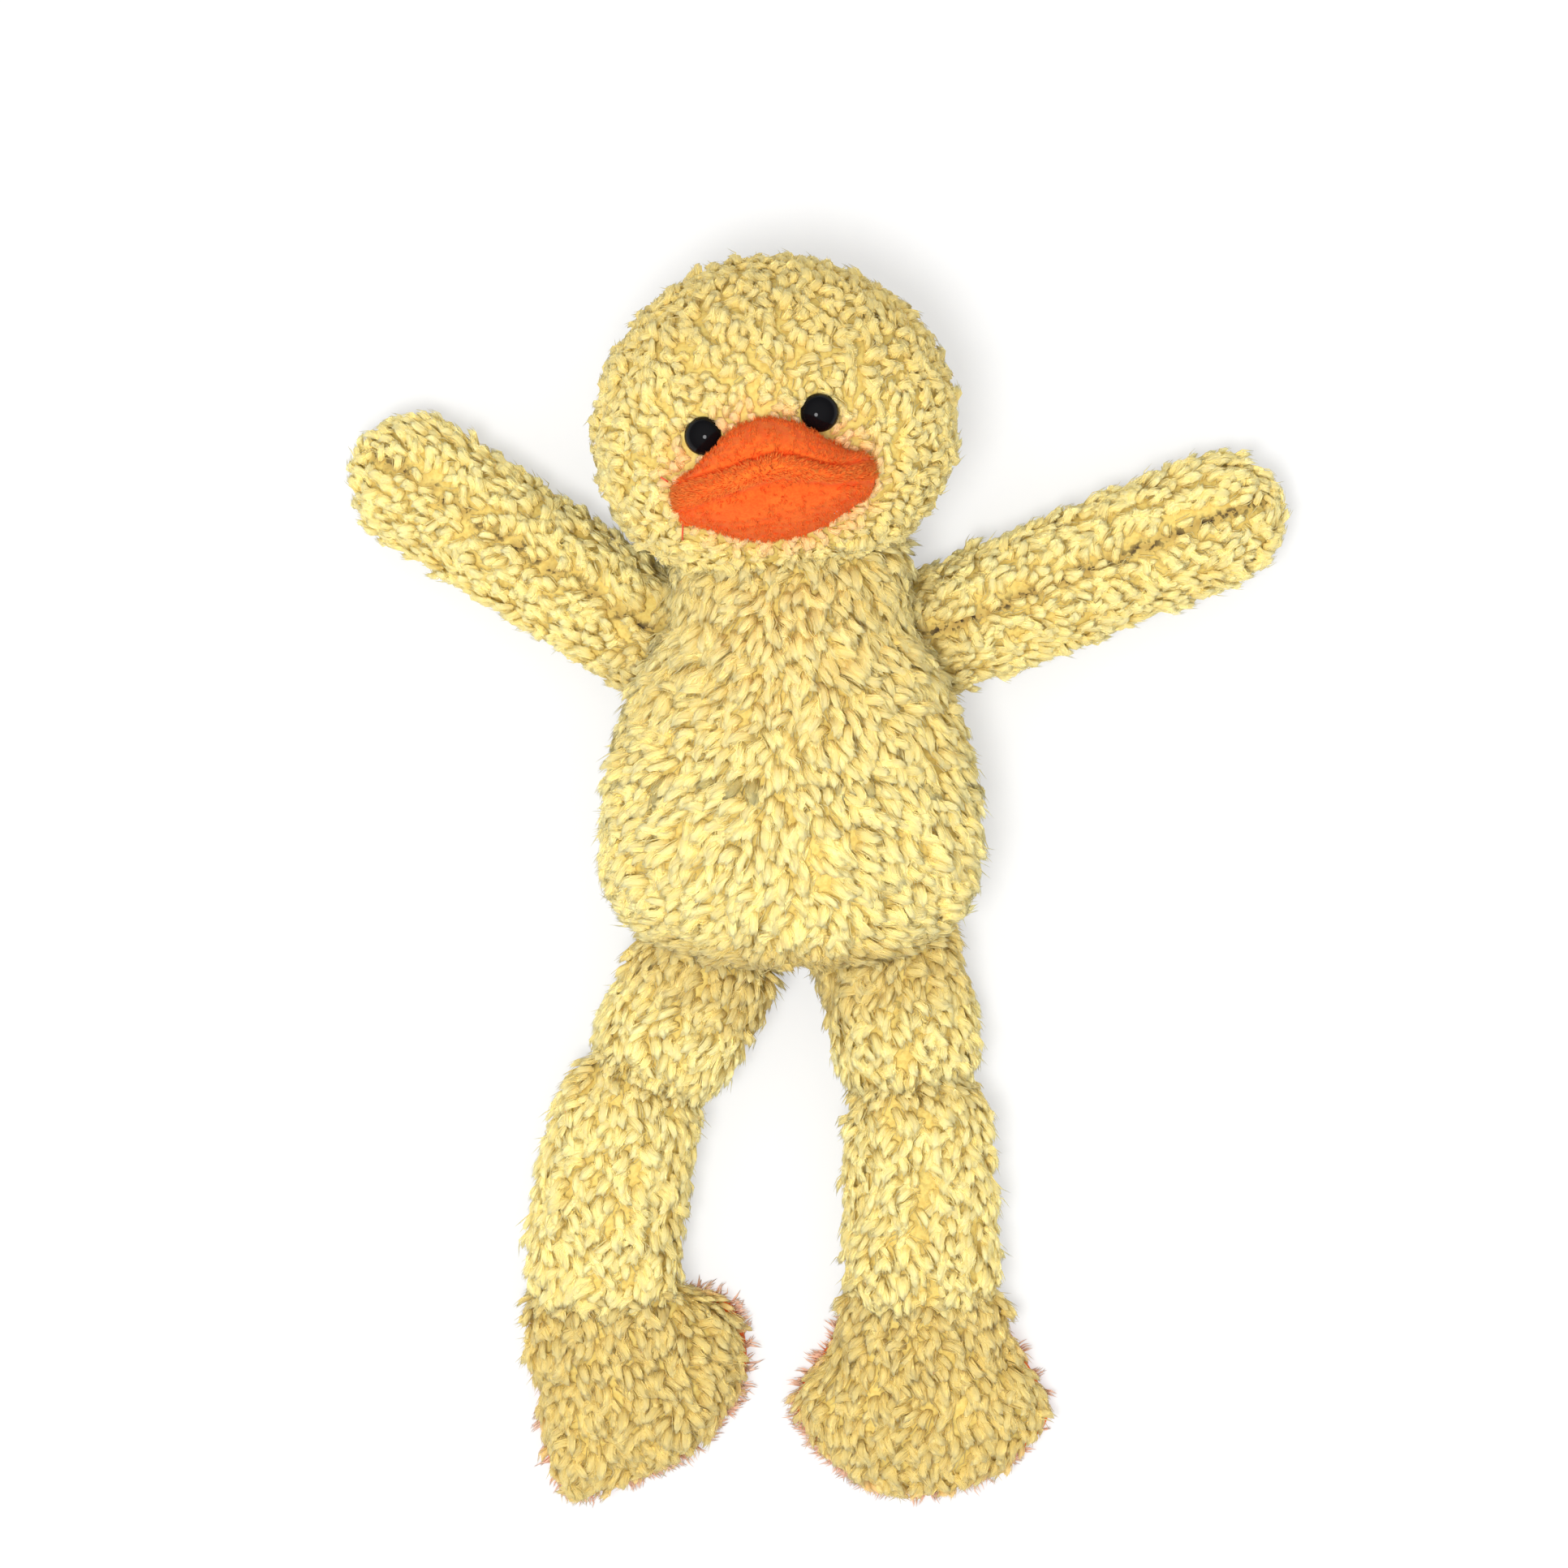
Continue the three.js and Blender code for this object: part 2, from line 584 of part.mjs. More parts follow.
function leg(side) {
  const drift = (length, slant) => length * Math.tan(degToRad(slant));
  const knee = new THREE.Vector3(THIGH_LENGTH[side], drift(THIGH_LENGTH[side], THIGH_SLANT[side]), 0);
  const ankle = new THREE.Vector3(
    SHIN_LENGTH[side], drift(SHIN_LENGTH[side], SHIN_SLANT[side]), ANKLE_HEIGHT - legHeight,
  );
  const seamTurn = side === 'left' ? 0 : -Math.PI / 2;
  const kneeSocket = rootSocket(LEG_ROOT_RADIUS, LEG_ROOT_HALF_WIDTH, knee);
  const ankleSocket = rootSocket(ANKLE_RADIUS, ANKLE_HALF_WIDTH, ankle);
  const thigh = turningGroup(hips[side], DOWN_THE_LEG,
    limbPieces(`${side}_thigh`, thighLimb(side), legHeight, seamTurn, kneeSocket));
  const shin = turningGroup(knee, 0,
    limbPieces(`${side}_shin`, shinLimb(side), legHeight, seamTurn, ankleSocket));
  const foot = turningGroup(ankle, -DOWN_THE_LEG, footPieces(side));
  shin.add(foot);
  thigh.add(shin);
  return thigh;
}

// Feet, built from the ankle with the toes towards -Y

// The footprint as a closed ring of points, drawn in by an inset.
function footOutline(side, inset, count) {
  const points = FOOTPRINT[side].map(([x, y]) => new THREE.Vector3(x * FOOT_WIDTH, y * FOOT_LENGTH, 0));
  const curve = new THREE.CatmullRomCurve3(points, true);
  const turns = THREE.ShapeUtils.isClockWise(curve.getPoints(count)) ? 1 : -1;
  return spaced(0, 1, count + 1).slice(0, count).map((share) => {
    const tangent = curve.getTangentAt(share);
    const inwards = new THREE.Vector3(tangent.y, -tangent.x, 0).multiplyScalar(turns * inset);
    return curve.getPointAt(share).add(inwards);
  });
}

// A pillow over the footprint: rings that rise and draw in towards the crown of the foot.
function pillow(outline, crown, low, high) {
  const ring = turnedRing(outline);
  const rings = [0, ...CLOSING.outer].map((angle) => ring.map((point) => {
    const place = new THREE.Vector3().lerpVectors(crown, point, Math.cos(angle) ** 0.8);
    return place.setZ(low + (high - low) * Math.sin(angle));
  }));
  rings.unshift(ring.map((point) => point.clone().setZ(low - SOLE - GAP)));
  const count = ring.length;
  const positions = rings.flat().flatMap((point) => point.toArray());
  const faces = [];
  for (let i = 0; i + 1 < rings.length; i += 1) {
    for (let k = 0; k < count; k += 1) {
      const next = (k + 1) % count;
      const [a, b, c, d] = [i * count + k, i * count + next, (i + 1) * count + k, (i + 1) * count + next];
      faces.push(a, b, c, b, d, c);
    }
  }
  const [bottom, top] = [positions.length / 3, positions.length / 3 + 1];
  positions.push(crown.x, crown.y, low - SOLE - GAP, crown.x, crown.y, high);
  const last = (rings.length - 1) * count;
  for (let k = 0; k < count; k += 1) {
    const next = (k + 1) % count;
    faces.push(bottom, next, k, top, last + k, last + next);
  }
  const geometry = new THREE.BufferGeometry();
  geometry.setAttribute('position', new THREE.Float32BufferAttribute(positions, 3));
  geometry.setIndex(faces);
  return toSolid(geometry);
}

function turnedRing(outline) {
  return THREE.ShapeUtils.isClockWise(outline) ? outline.toReversed() : outline;
}

// The instep that rises from the toes to the ankle.
function instep(inset, sides) {
  const limb = {
    reach: INSTEP_LENGTH,
    root: { reach: ANKLE_RADIUS, width: ANKLE_HALF_WIDTH, depth: ANKLE_RADIUS },
    widthAt: () => INSTEP_HALF_WIDTH,
    depth: INSTEP_HALF_DEPTH,
    swell: LEG_SWELL,
    end: LEG_END,
    roundness: 2.6,
    slant: 0,
    bow: 0,
    steps: 3,
  };
  return limbForm(limb, inset, sides).rotate([0, 0, DOWN_THE_LEG]);
}

function footPieces(side) {
  const ground = -ANKLE_HEIGHT;
  const low = ground + SOLE + GAP;
  const crown = new THREE.Vector3(0, -0.4 * FOOT_LENGTH, 0);
  const form = (inset, count) => pillow(footOutline(side, inset, count), crown, low, ground + FOOT_HEIGHT - inset)
    .add(instep(inset, INNER_SIDES.limb));
  const outer = form(0, SIDES.foot);
  const cover = outer.subtract(form(COVER, INNER_SIDES.foot)).intersect(above(low));
  const filling = form(COVER + GAP, INNER_SIDES.foot).intersect(above(low));
  const sole = pillow(footOutline(side, -GAP, SIDES.foot), crown, low, low + SOLE).intersect(below(ground + SOLE));
  return [
    toMesh(`${side}_foot_cover`, cover, MATERIALS.fleece),
    toMesh(`${side}_foot_filling`, filling, MATERIALS.filling),
    toMesh(`${side}_foot_sole`, sole, MATERIALS.velvet),
  ];
}

// The whole toy

const toy = new THREE.Group();
toy.add(...bodyPieces());
toy.add(turningGroup(headCentre, HEAD_TILT, headPieces()));
for (const side of ['left', 'right']) toy.add(arm(side), leg(side));

export default toy;
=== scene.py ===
# %% [markdown]
# A plush duckling lies on its back on a pale floor and is seen from straight above. This lesson dresses
# its CAD frame: curly fleece grown on stuffed skins, a velvet bill, velvet soles and black safety eyes.
# The frame comes first, because every piece made here has to move with one of its bodies.

import json
import math

import bmesh
import bpy
import numpy as np
from mathutils import Matrix, Vector

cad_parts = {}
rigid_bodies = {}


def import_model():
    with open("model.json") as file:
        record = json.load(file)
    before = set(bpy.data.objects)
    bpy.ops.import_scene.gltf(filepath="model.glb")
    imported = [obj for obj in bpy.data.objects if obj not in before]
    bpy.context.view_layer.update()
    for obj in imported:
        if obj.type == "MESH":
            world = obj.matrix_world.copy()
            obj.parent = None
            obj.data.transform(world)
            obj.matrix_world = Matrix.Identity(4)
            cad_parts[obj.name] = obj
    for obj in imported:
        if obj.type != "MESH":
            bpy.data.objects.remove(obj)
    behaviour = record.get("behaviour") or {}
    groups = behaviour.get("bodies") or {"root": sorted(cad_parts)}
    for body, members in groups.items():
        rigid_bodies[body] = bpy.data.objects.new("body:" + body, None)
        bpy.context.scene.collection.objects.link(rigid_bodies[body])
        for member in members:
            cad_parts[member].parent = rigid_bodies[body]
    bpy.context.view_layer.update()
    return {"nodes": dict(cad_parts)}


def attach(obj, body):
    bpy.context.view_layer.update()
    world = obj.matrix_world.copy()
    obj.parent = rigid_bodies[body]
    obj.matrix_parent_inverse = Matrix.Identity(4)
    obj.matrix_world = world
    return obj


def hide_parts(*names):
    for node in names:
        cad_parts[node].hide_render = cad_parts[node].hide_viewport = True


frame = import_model()
nodes = frame["nodes"]
scene = bpy.context.scene
MM = 0.001

# %% [markdown]
# The camera hangs straight over the toy. A long lens from a metre and a half away keeps the bill, which
# stands highest, from looking too large against the feet on the floor.

# %% Camera
CAMERA_HEIGHT = 1.5
SEEN_WIDTH = 0.373
SEEN_AT_HEIGHT = 0.025
SEEN_MIDDLE = (-0.0017, 0.0066)
SENSOR = 36.0

camera_data = bpy.data.cameras.new("overhead_camera")
camera_data.sensor_width = SENSOR
camera_data.lens = SENSOR * (CAMERA_HEIGHT - SEEN_AT_HEIGHT) / SEEN_WIDTH
camera_data.clip_end = 50.0
camera = bpy.data.objects.new("overhead_camera", camera_data)
camera.location = (*SEEN_MIDDLE, CAMERA_HEIGHT)
scene.collection.objects.link(camera)
scene.camera = camera
print("lens", round(camera_data.lens, 1), "mm")

# %% [markdown]
# Shader and geometry trees are long to click together and unreadable as lists of links, so one small class
# wraps a socket. Arithmetic on it adds Math nodes, and its node method adds any other node.

# %% A socket with arithmetic


def wire(tree, socket, value):
    if isinstance(value, Wire):
        tree.links.new(value.out, socket)
    elif value is not None:
        socket.default_value = value


class Wire:
    def __init__(self, tree, out=None):
        self.tree = tree
        self.out = out

    def node(self, kind, sockets=None, out=0, **settings):
        made = self.tree.nodes.new(kind)
        for name, value in settings.items():
            setattr(made, name, value)
        for key, value in (sockets or {}).items():
            if isinstance(key, int):
                socket = made.inputs[key]
            else:
                socket = next(s for s in made.inputs if s.name == key and s.enabled)
            wire(self.tree, socket, value)
        if isinstance(out, int):
            return Wire(self.tree, made.outputs[out])
        return Wire(self.tree, next(s for s in made.outputs if s.name == out and s.enabled))

    def math(self, operation, first, second=None):
        return self.node("ShaderNodeMath", {0: first, 1: second}, operation=operation)

    def __add__(self, other):
        return self.math("ADD", self, other)

    def __radd__(self, other):
        return self.math("ADD", other, self)

    def __sub__(self, other):
        return self.math("SUBTRACT", self, other)

    def __rsub__(self, other):
        return self.math("SUBTRACT", other, self)

    def __mul__(self, other):
        return self.math("MULTIPLY", self, other)

    def __rmul__(self, other):
        return self.math("MULTIPLY", other, self)

    def __pow__(self, other):
        return self.math("POWER", self, other)

    def between(self, low, high):
        sockets = {"Value": self, "From Min": low, "From Max": high}
        return self.node("ShaderNodeMapRange", sockets, clamp=True, interpolation_type="SMOOTHSTEP")

    def mixed(self, first, second):
        sockets = {"Factor": self, "A": first, "B": second}
        return self.node("ShaderNodeMix", sockets, out="Result", data_type="RGBA")


def linear(red, green, blue):
    parts = [v / 255 for v in (red, green, blue)]
    parts = [v / 12.92 if v <= 0.04045 else ((v + 0.055) / 1.055) ** 2.4 for v in parts]
    return (*parts, 1.0)


def finish_named(name, roughness=0.9, sheen=0.0, coat=0.0):
    material = bpy.data.materials.new(name)
    material.use_nodes = True
    tree = material.node_tree
    shader = tree.nodes["Principled BSDF"]
    shader.inputs["Roughness"].default_value = roughness
    shader.inputs["Sheen Weight"].default_value = sheen
    shader.inputs["Coat Weight"].default_value = coat
    return material, Wire(tree), shader


def read(start, name):
    return start.node("ShaderNodeAttribute", out="Fac", attribute_name=name)


def noise_on(start, scale, detail, distortion=0.0):
    """Noise that stays with the piece."""
    place = start.node("ShaderNodeTexCoord", out="Object")
    sockets = {"Vector": place, "Scale": scale, "Detail": detail, "Distortion": distortion}
    return start.node("ShaderNodeTexNoise", sockets)


def roughen(start, shader, height, strength, distance):
    bump = start.node("ShaderNodeBump", {"Strength": strength, "Distance": distance, "Height": height})
    wire(start.tree, shader.inputs["Normal"], bump)


# %% [markdown]
# The pile is pale at its tips and golden at its roots, where light bounces between fibres. Each strand
# carries how far along it a point lies, each lock a random number, and the skin passes on where the pile
# takes a peach tint next to the orange velvet and where it is darker tan, mostly painted shade in creases.

# %% Fleece pile finish
PILE_TIP = linear(226, 222, 174)
PILE_TIP_WARM = linear(222, 210, 148)
PILE_ROOT = linear(236, 212, 126)
PEACH_TINT = linear(250, 186, 138)
TAN_AND_SHADE = linear(188, 156, 74)

pile_finish, start, shader = finish_named("fleece_pile", roughness=0.85, sheen=0.1)
shader.subsurface_method = "BURLEY"
shader.inputs["Subsurface Weight"].default_value = 0.7
shader.inputs["Subsurface Radius"].default_value = (1.0, 0.85, 0.5)
shader.inputs["Subsurface Scale"].default_value = 0.0018
along = read(start, "along")
lock_tone = read(start, "lock_tone")
strand_tone = read(start, "strand_tone")
streak = noise_on(start, 1500.0, 2.0)
tip = (lock_tone * 0.5 + strand_tone * 0.5).mixed(PILE_TIP, PILE_TIP_WARM)
tone = (along ** 0.8 * (0.7 + streak * 0.3 + strand_tone * 0.3)).mixed(PILE_ROOT, tip)
# Painted shade: the tan darkens the pile in creases, under the chin, at the roots of the limbs and on the
# crown.
tone = (read(start, "tan") * (1.1 - along * 0.4)).mixed(tone, TAN_AND_SHADE)
tone = read(start, "lint").mixed(tone, PEACH_TINT)
wire(start.tree, shader.inputs["Base Color"], tone)
roughen(start, shader, streak, 0.6, 0.0004)
print("made", pile_finish.name)

# %% [markdown]
# Under the pile lies a knitted backing. It shows only as golden depth between locks and as dark specks
# along the open seams of the arms, where the needle pulled the pile aside.

# %% Fleece backing finish
BACKING = linear(250, 226, 132)
BACKING_DEEP = linear(236, 204, 108)
SEAM_LINE = linear(176, 140, 72)
BACKING_SPECK = linear(58, 44, 30)

backing_finish, start, shader = finish_named("fleece_backing", roughness=0.95)
knit = noise_on(start, 900.0, 3.0)
speck = noise_on(start, 620.0, 2.0)
tone = knit.between(0.3, 0.7).mixed(BACKING_DEEP, BACKING)
seam = read(start, "seam")
tone = (seam * 0.8).mixed(tone, SEAM_LINE)
tone = (speck.between(0.5, 0.6) * seam).mixed(tone, BACKING_SPECK)
wire(start.tree, shader.inputs["Base Color"], tone)
roughen(start, shader, knit, 0.5, 0.0004)
print("made", backing_finish.name)

# %% [markdown]
# Every stuffed piece starts as a skin, a closed form of rings just inside the CAD surface, so that the pile
# on it ends a little outside. Rings are joined into one mesh, and poles close its ends.

# %% Rings to a closed skin
PILE_DEPTH = 0.6
SKIN_VOXEL = 0.0028


def mesh_object(name, points, faces):
    mesh = bpy.data.meshes.new(name)
    mesh.from_pydata([tuple(p) for p in points], [], faces)
    work = bmesh.new()
    work.from_mesh(mesh)
    bmesh.ops.remove_doubles(work, verts=work.verts, dist=1e-7)
    bmesh.ops.recalc_face_normals(work, faces=work.faces)
    work.to_mesh(mesh)
    work.free()
    made = bpy.data.objects.new(name, mesh)
    scene.collection.objects.link(made)
    return made


def ring_faces(ring_count, side_count, first=0):
    faces = []
    for i in range(ring_count - 1):
        for k in range(side_count):
            after = (k + 1) % side_count
            low, high = first + i * side_count, first + (i + 1) * side_count
            faces.append((low + k, low + after, high + after, high + k))
    return faces


def closed_rings(rings, first=0):
    """Points and faces of a form through rings of points, closed at both ends, in metres from mm."""
    rings = np.array(rings, float) * MM
    ring_count, side_count, _ = rings.shape
    faces = ring_faces(ring_count, side_count, first)
    points = [*rings.reshape(-1, 3), rings[0].mean(0), rings[-1].mean(0)]
    start, end = first + len(points) - 2, first + len(points) - 1
    last = first + (ring_count - 1) * side_count
    for k in range(side_count):
        after = (k + 1) % side_count
        faces.append((start, first + after, first + k))
        faces.append((end, last + k, last + after))
    return points, faces


def ellipse(centre, across, up, sides=40):
    turn = np.linspace(0, 2 * np.pi, sides, endpoint=False)[:, None]
    return np.array(centre) + np.cos(turn) * np.array(across) + np.sin(turn) * np.array(up)


def skin_of(name, *forms):
    points, faces = [], []
    for rings in forms:
        more_points, more_faces = closed_rings(rings, len(points))
        points += more_points
        faces += more_faces
    skin = mesh_object(name, points, faces)
    remesh = skin.modifiers.new("even", "REMESH")
    remesh.mode = "VOXEL"
    remesh.voxel_size = SKIN_VOXEL
    smooth = skin.modifiers.new("soften", "SMOOTH")
    smooth.factor = 0.5
    smooth.iterations = 4
    settle(skin)
    return skin


def settle(piece):
    """Turns a piece's live modifiers into plain mesh."""
    shape = piece.evaluated_get(bpy.context.evaluated_depsgraph_get())
    plain = bpy.data.meshes.new_from_object(shape)
    piece.modifiers.clear()
    old = piece.data
    piece.data = plain
    bpy.data.meshes.remove(old)
    plain.name = piece.name


def places_of(piece):
    values = np.empty(len(piece.data.vertices) * 3, np.float32)
    piece.data.vertices.foreach_get("co", values)
    return values.reshape(-1, 3).astype(float)


def put_places(piece, places):
    piece.data.vertices.foreach_set("co", places.astype(np.float32).ravel())
    piece.data.update()


def dress(piece, finish):
    """Gives a piece one finish and smooth shading."""
    piece.data.materials.clear()
    piece.data.materials.append(finish)
    piece.data.polygons.foreach_set("use_smooth", [True] * len(piece.data.polygons))


def curve_point(a, b, c, d, t):
    """A point at share t from b to c, on the smooth curve through a, b, c and d."""
    second = 2 * a - 5 * b + 4 * c - d
    third = 3 * b - a - 3 * c + d
    return 0.5 * (2 * b + (c - a) * t + second * t**2 + third * t**3)


def normals_of(piece):
    values = np.empty(len(piece.data.vertices) * 3, np.float32)
    piece.data.vertex_normals.foreach_get("vector", values)
    return values.reshape(-1, 3).astype(float)


# %% [markdown]
# The body is a pear: wide at the belly, closing quickly to the seat and slowly to the neck, which runs on
# up into the head. The head is a ball, a little wider at the cheeks.

# %% Body and head skins
BELLY_Y, BELLY_HALF_WIDTH, BELLY_HALF_DEPTH = -6.0, 44.0, 30.0
NECK_Y, NECK_RADIUS, BODY_AXIS = 44.4, 27.0, 29.5
SEAT_TO_BELLY, SEAT_ROUNDNESS, SHOULDER_FULLNESS = 29.5, 2.6, 2.2
HEAD_MIDDLE = np.array([-4.140, 91.719, 39.5])
HEAD_HALF = np.array([42.6, 38.5, 40.0])
JAW_FULLNESS, HEAD_TILT, FACE_TURN = 0.05, 11.0, -5.0


def body_ring(y):
    seat = SEAT_TO_BELLY - PILE_DEPTH
    below, above = max(BELLY_Y - y, 0.0), max(y - BELLY_Y, 0.0)
    closing = max(1 - (below / seat) ** SEAT_ROUNDNESS, 0.0) ** (1 / SEAT_ROUNDNESS)
    shoulder = 1 - min(above / (NECK_Y - BELLY_Y), 1.0) ** SHOULDER_FULLNESS
    width = (NECK_RADIUS + (BELLY_HALF_WIDTH - NECK_RADIUS) * shoulder - PILE_DEPTH) * closing
    depth = (NECK_RADIUS + (BELLY_HALF_DEPTH - NECK_RADIUS) * shoulder - PILE_DEPTH) * closing
    return ellipse((0, y, BODY_AXIS), (width, 0, 0), (0, 0, depth))


seat_y = BELLY_Y - SEAT_TO_BELLY + PILE_DEPTH
body_levels = [seat_y + 26.5 * (1 - math.cos(a)) for a in np.linspace(0.12, math.pi / 2, 9)]
body_levels += list(np.linspace(BELLY_Y + 5, 64, 14))
body_skin = skin_of("body_skin", [body_ring(y) for y in body_levels])


def about_z(degrees):
    return np.array(Matrix.Rotation(math.radians(degrees), 3, "Z"))


head_turn = about_z(HEAD_TILT)
face_turn = head_turn @ np.array(Matrix.Rotation(math.radians(FACE_TURN), 3, "Y"))


def head_ring(angle):
    half = HEAD_HALF - PILE_DEPTH
    width = half[0] * math.cos(angle) * (1 - JAW_FULLNESS * math.sin(angle))
    ring = ellipse((0, half[1] * math.sin(angle), 0), (width, 0, 0), (0, 0, half[2] * math.cos(angle)))
    return ring @ head_turn.T + HEAD_MIDDLE


head_skin = skin_of("head_skin", [head_ring(a) for a in np.linspace(-1.5, 1.5, 25)])
print("body skin", len(body_skin.data.polygons), "head skin", len(head_skin.data.polygons), "faces")

# %% [markdown]
# Arms and legs are long stuffed tubes. Each starts well inside the piece that carries it, so that nothing
# opens when the limb turns, swells, and closes round at its end.

# %% Limb skins
ARM_ROOT = {"left": (32.391, 42.0), "right": (-32.391, 42.0)}
ARM_DIRECTION = {"left": 22.0, "right": 147.0}
ARM_REACH = {"left": 91.0, "right": 84.0}
ARM_HALF_WIDTH, ARM_HALF_DEPTH, ARM_AXIS = 15.8, 13.5, 13.0
HIP = {"left": (24.0, -39.387), "right": (-22.0, -40.16)}
KNEE = {"left": (29.772, -64.387), "right": (-34.229, -63.16)}
ANKLE = {"left": (31.64, -117.887), "right": (-43.433, -118.16)}
LEG_HALF_WIDTH, LEG_HALF_DEPTH, LEG_AXIS, ANKLE_HEIGHT = 17.0, 16.0, 15.5, 12.5
SHIN_HALF_WIDTH = (16.7, 18.5)
SHIN_BOW = {"left": 0.0, "right": -4.5}


def tube(path, widths, depths):
    """Rings square to a path of points, each with its half width in the XY plane and half depth along Z."""
    path = np.array(path, float)
    heading = np.gradient(path, axis=0)
    heading[:, 2] = 0
    heading /= np.linalg.norm(heading, axis=1)[:, None]
    across = np.stack([-heading[:, 1], heading[:, 0], np.zeros(len(path))], axis=1)
    return [
        ellipse(p, a * w, (0, 0, d), 32) for p, a, w, d in zip(path, across, widths, depths)
    ]


def rounded(shares, first, last):
    """1 along the middle of a tube, closing like a ball over its first and last parts."""
    closing = np.ones(len(shares))
    for i, share in enumerate(shares):
        if first and share < first:
            closing[i] = math.sqrt(max(1 - ((first - share) / first) ** 2, 0.0))
        if last and share > 1 - last:
            closing[i] *= math.sqrt(max(1 - ((share - 1 + last) / last) ** 2, 0.0))
    return closing


def spread_shares(count):
    return (1 - np.cos(np.linspace(0.06, math.pi - 0.06, count))) / 2


def arm_skin(side):
    angle = math.radians(ARM_DIRECTION[side])
    heading = np.array([math.cos(angle), math.sin(angle), 0.0])
    root = np.array([*ARM_ROOT[side], ARM_AXIS])
    inside, reach = 14.0, ARM_REACH[side] - PILE_DEPTH
    shares = spread_shares(28)
    path = [root + heading * (-inside + (inside + reach) * s) for s in shares]
    closing = rounded(shares, 0.1, 0.17)
    swell = 0.9 + 0.1 * np.clip(shares / 0.4, 0, 1)
    widths = (ARM_HALF_WIDTH - PILE_DEPTH) * closing * swell
    depths = (ARM_HALF_DEPTH - PILE_DEPTH) * closing * swell
    return skin_of(f"{side}_arm_skin", tube(path, widths, depths))


def between_points(first, last, bow, shares):
    first, last = np.array(first, float), np.array(last, float)
    side = np.array([-(last - first)[1], (last - first)[0], 0.0])
    side /= np.linalg.norm(side)
    return [first + (last - first) * s + side * bow * math.sin(math.pi * s) for s in shares]


def thigh_skin(side):
    hip, knee = np.array([*HIP[side], LEG_AXIS]), np.array([*KNEE[side], LEG_AXIS])
    heading = (knee - hip) / np.linalg.norm(knee - hip)
    shares = spread_shares(22)
    path = between_points(hip - heading * 12, knee + heading * 7, 0.0, shares)
    closing = rounded(shares, 0.12, 0.4)
    widths = (LEG_HALF_WIDTH - PILE_DEPTH) * closing
    depths = (LEG_HALF_DEPTH - PILE_DEPTH) * closing
    return skin_of(f"{side}_thigh_skin", tube(path, widths, depths))


def shin_skin(side):
    knee, ankle = np.array([*KNEE[side], LEG_AXIS]), np.array([*ANKLE[side], ANKLE_HEIGHT + 1.5])
    heading = (ankle - knee) / np.linalg.norm(ankle - knee)
    shares = spread_shares(26)
    path = between_points(knee - heading * 6, ankle + heading * 6, SHIN_BOW[side], shares)
    closing = rounded(shares, 0.28, 0.2)
    half_width = SHIN_HALF_WIDTH[0] + (SHIN_HALF_WIDTH[1] - SHIN_HALF_WIDTH[0]) * shares
    widths = (half_width - PILE_DEPTH) * closing
    depths = (LEG_HALF_DEPTH - 2.5 * shares - PILE_DEPTH) * closing
    return skin_of(f"{side}_shin_skin", tube(path, widths, depths))


limb_skins = {}
for side in ("left", "right"):
    limb_skins[f"{side}_arm"] = arm_skin(side)
    limb_skins[f"{side}_thigh"] = thigh_skin(side)
    limb_skins[f"{side}_shin"] = shin_skin(side)
print("limb skins", {name: len(skin.data.polygons) for name, skin in limb_skins.items()})

# %% [markdown]
# A foot is a webbed pillow. Its outline is a smooth closed curve through a few points round the ankle, and
# its rings rise and draw in towards the crown. An instep joins it to the shin.

# %% Foot skins
FOOT_WIDTH, FOOT_LENGTH, FOOT_HEIGHT = 64.0, 50.0, 21.0
INSTEP_HALF_WIDTH, INSTEP_HALF_DEPTH, INSTEP_LENGTH = 20.0, 12.0, 20.0
SOLE_THICKNESS = 2.2
FOOTPRINT = {
    "left": [
        (0.28, -0.06), (0.4, -0.26), (0.5, -0.54), (0.4, -0.74), (0.16, -0.92), (-0.1, -0.96),
        (-0.36, -0.78), (-0.5, -0.5), (-0.38, -0.22), (-0.27, -0.06), (0.0, -0.04),
    ],
    "right": [
        (0.33, 0.08), (0.46, 0.02), (0.53, -0.2), (0.5, -0.46), (0.32, -0.73), (0.06, -0.9),
        (-0.14, -0.96), (-0.25, -0.8), (-0.29, -0.42), (-0.26, -0.08), (0.0, -0.02), (0.2, 0.06),
    ],
}


def footprint(side, inset, count=72):
    """The outline of a foot as a ring of points round the ankle, drawn in by an inset."""
    corners = np.array(FOOTPRINT[side]) * (FOOT_WIDTH, FOOT_LENGTH)
    ring = []
    for i in range(len(corners)):
        a, b, c, d = (corners[(i + k) % len(corners)] for k in (-1, 0, 1, 2))
        for t in np.linspace(0, 1, 12, endpoint=False):
            ring.append(curve_point(a, b, c, d, t))
    looped = np.vstack([ring, ring[:1]])
    steps = np.linalg.norm(np.diff(looped, axis=0), axis=1)
    lengths = np.concatenate([[0], np.cumsum(steps)])
    wanted = np.linspace(0, lengths[-1], count, endpoint=False)
    ring = np.stack([np.interp(wanted, lengths, looped[:, k]) for k in (0, 1)], axis=1)
    heading = np.roll(ring, -1, axis=0) - np.roll(ring, 1, axis=0)
    heading /= np.linalg.norm(heading, axis=1)[:, None]
    area = np.sum(ring[:, 0] * np.roll(ring[:, 1], -1) - ring[:, 1] * np.roll(ring[:, 0], -1))
    inwards = np.stack([-heading[:, 1], heading[:, 0]], axis=1) * np.sign(area)
    return ring + inwards * inset


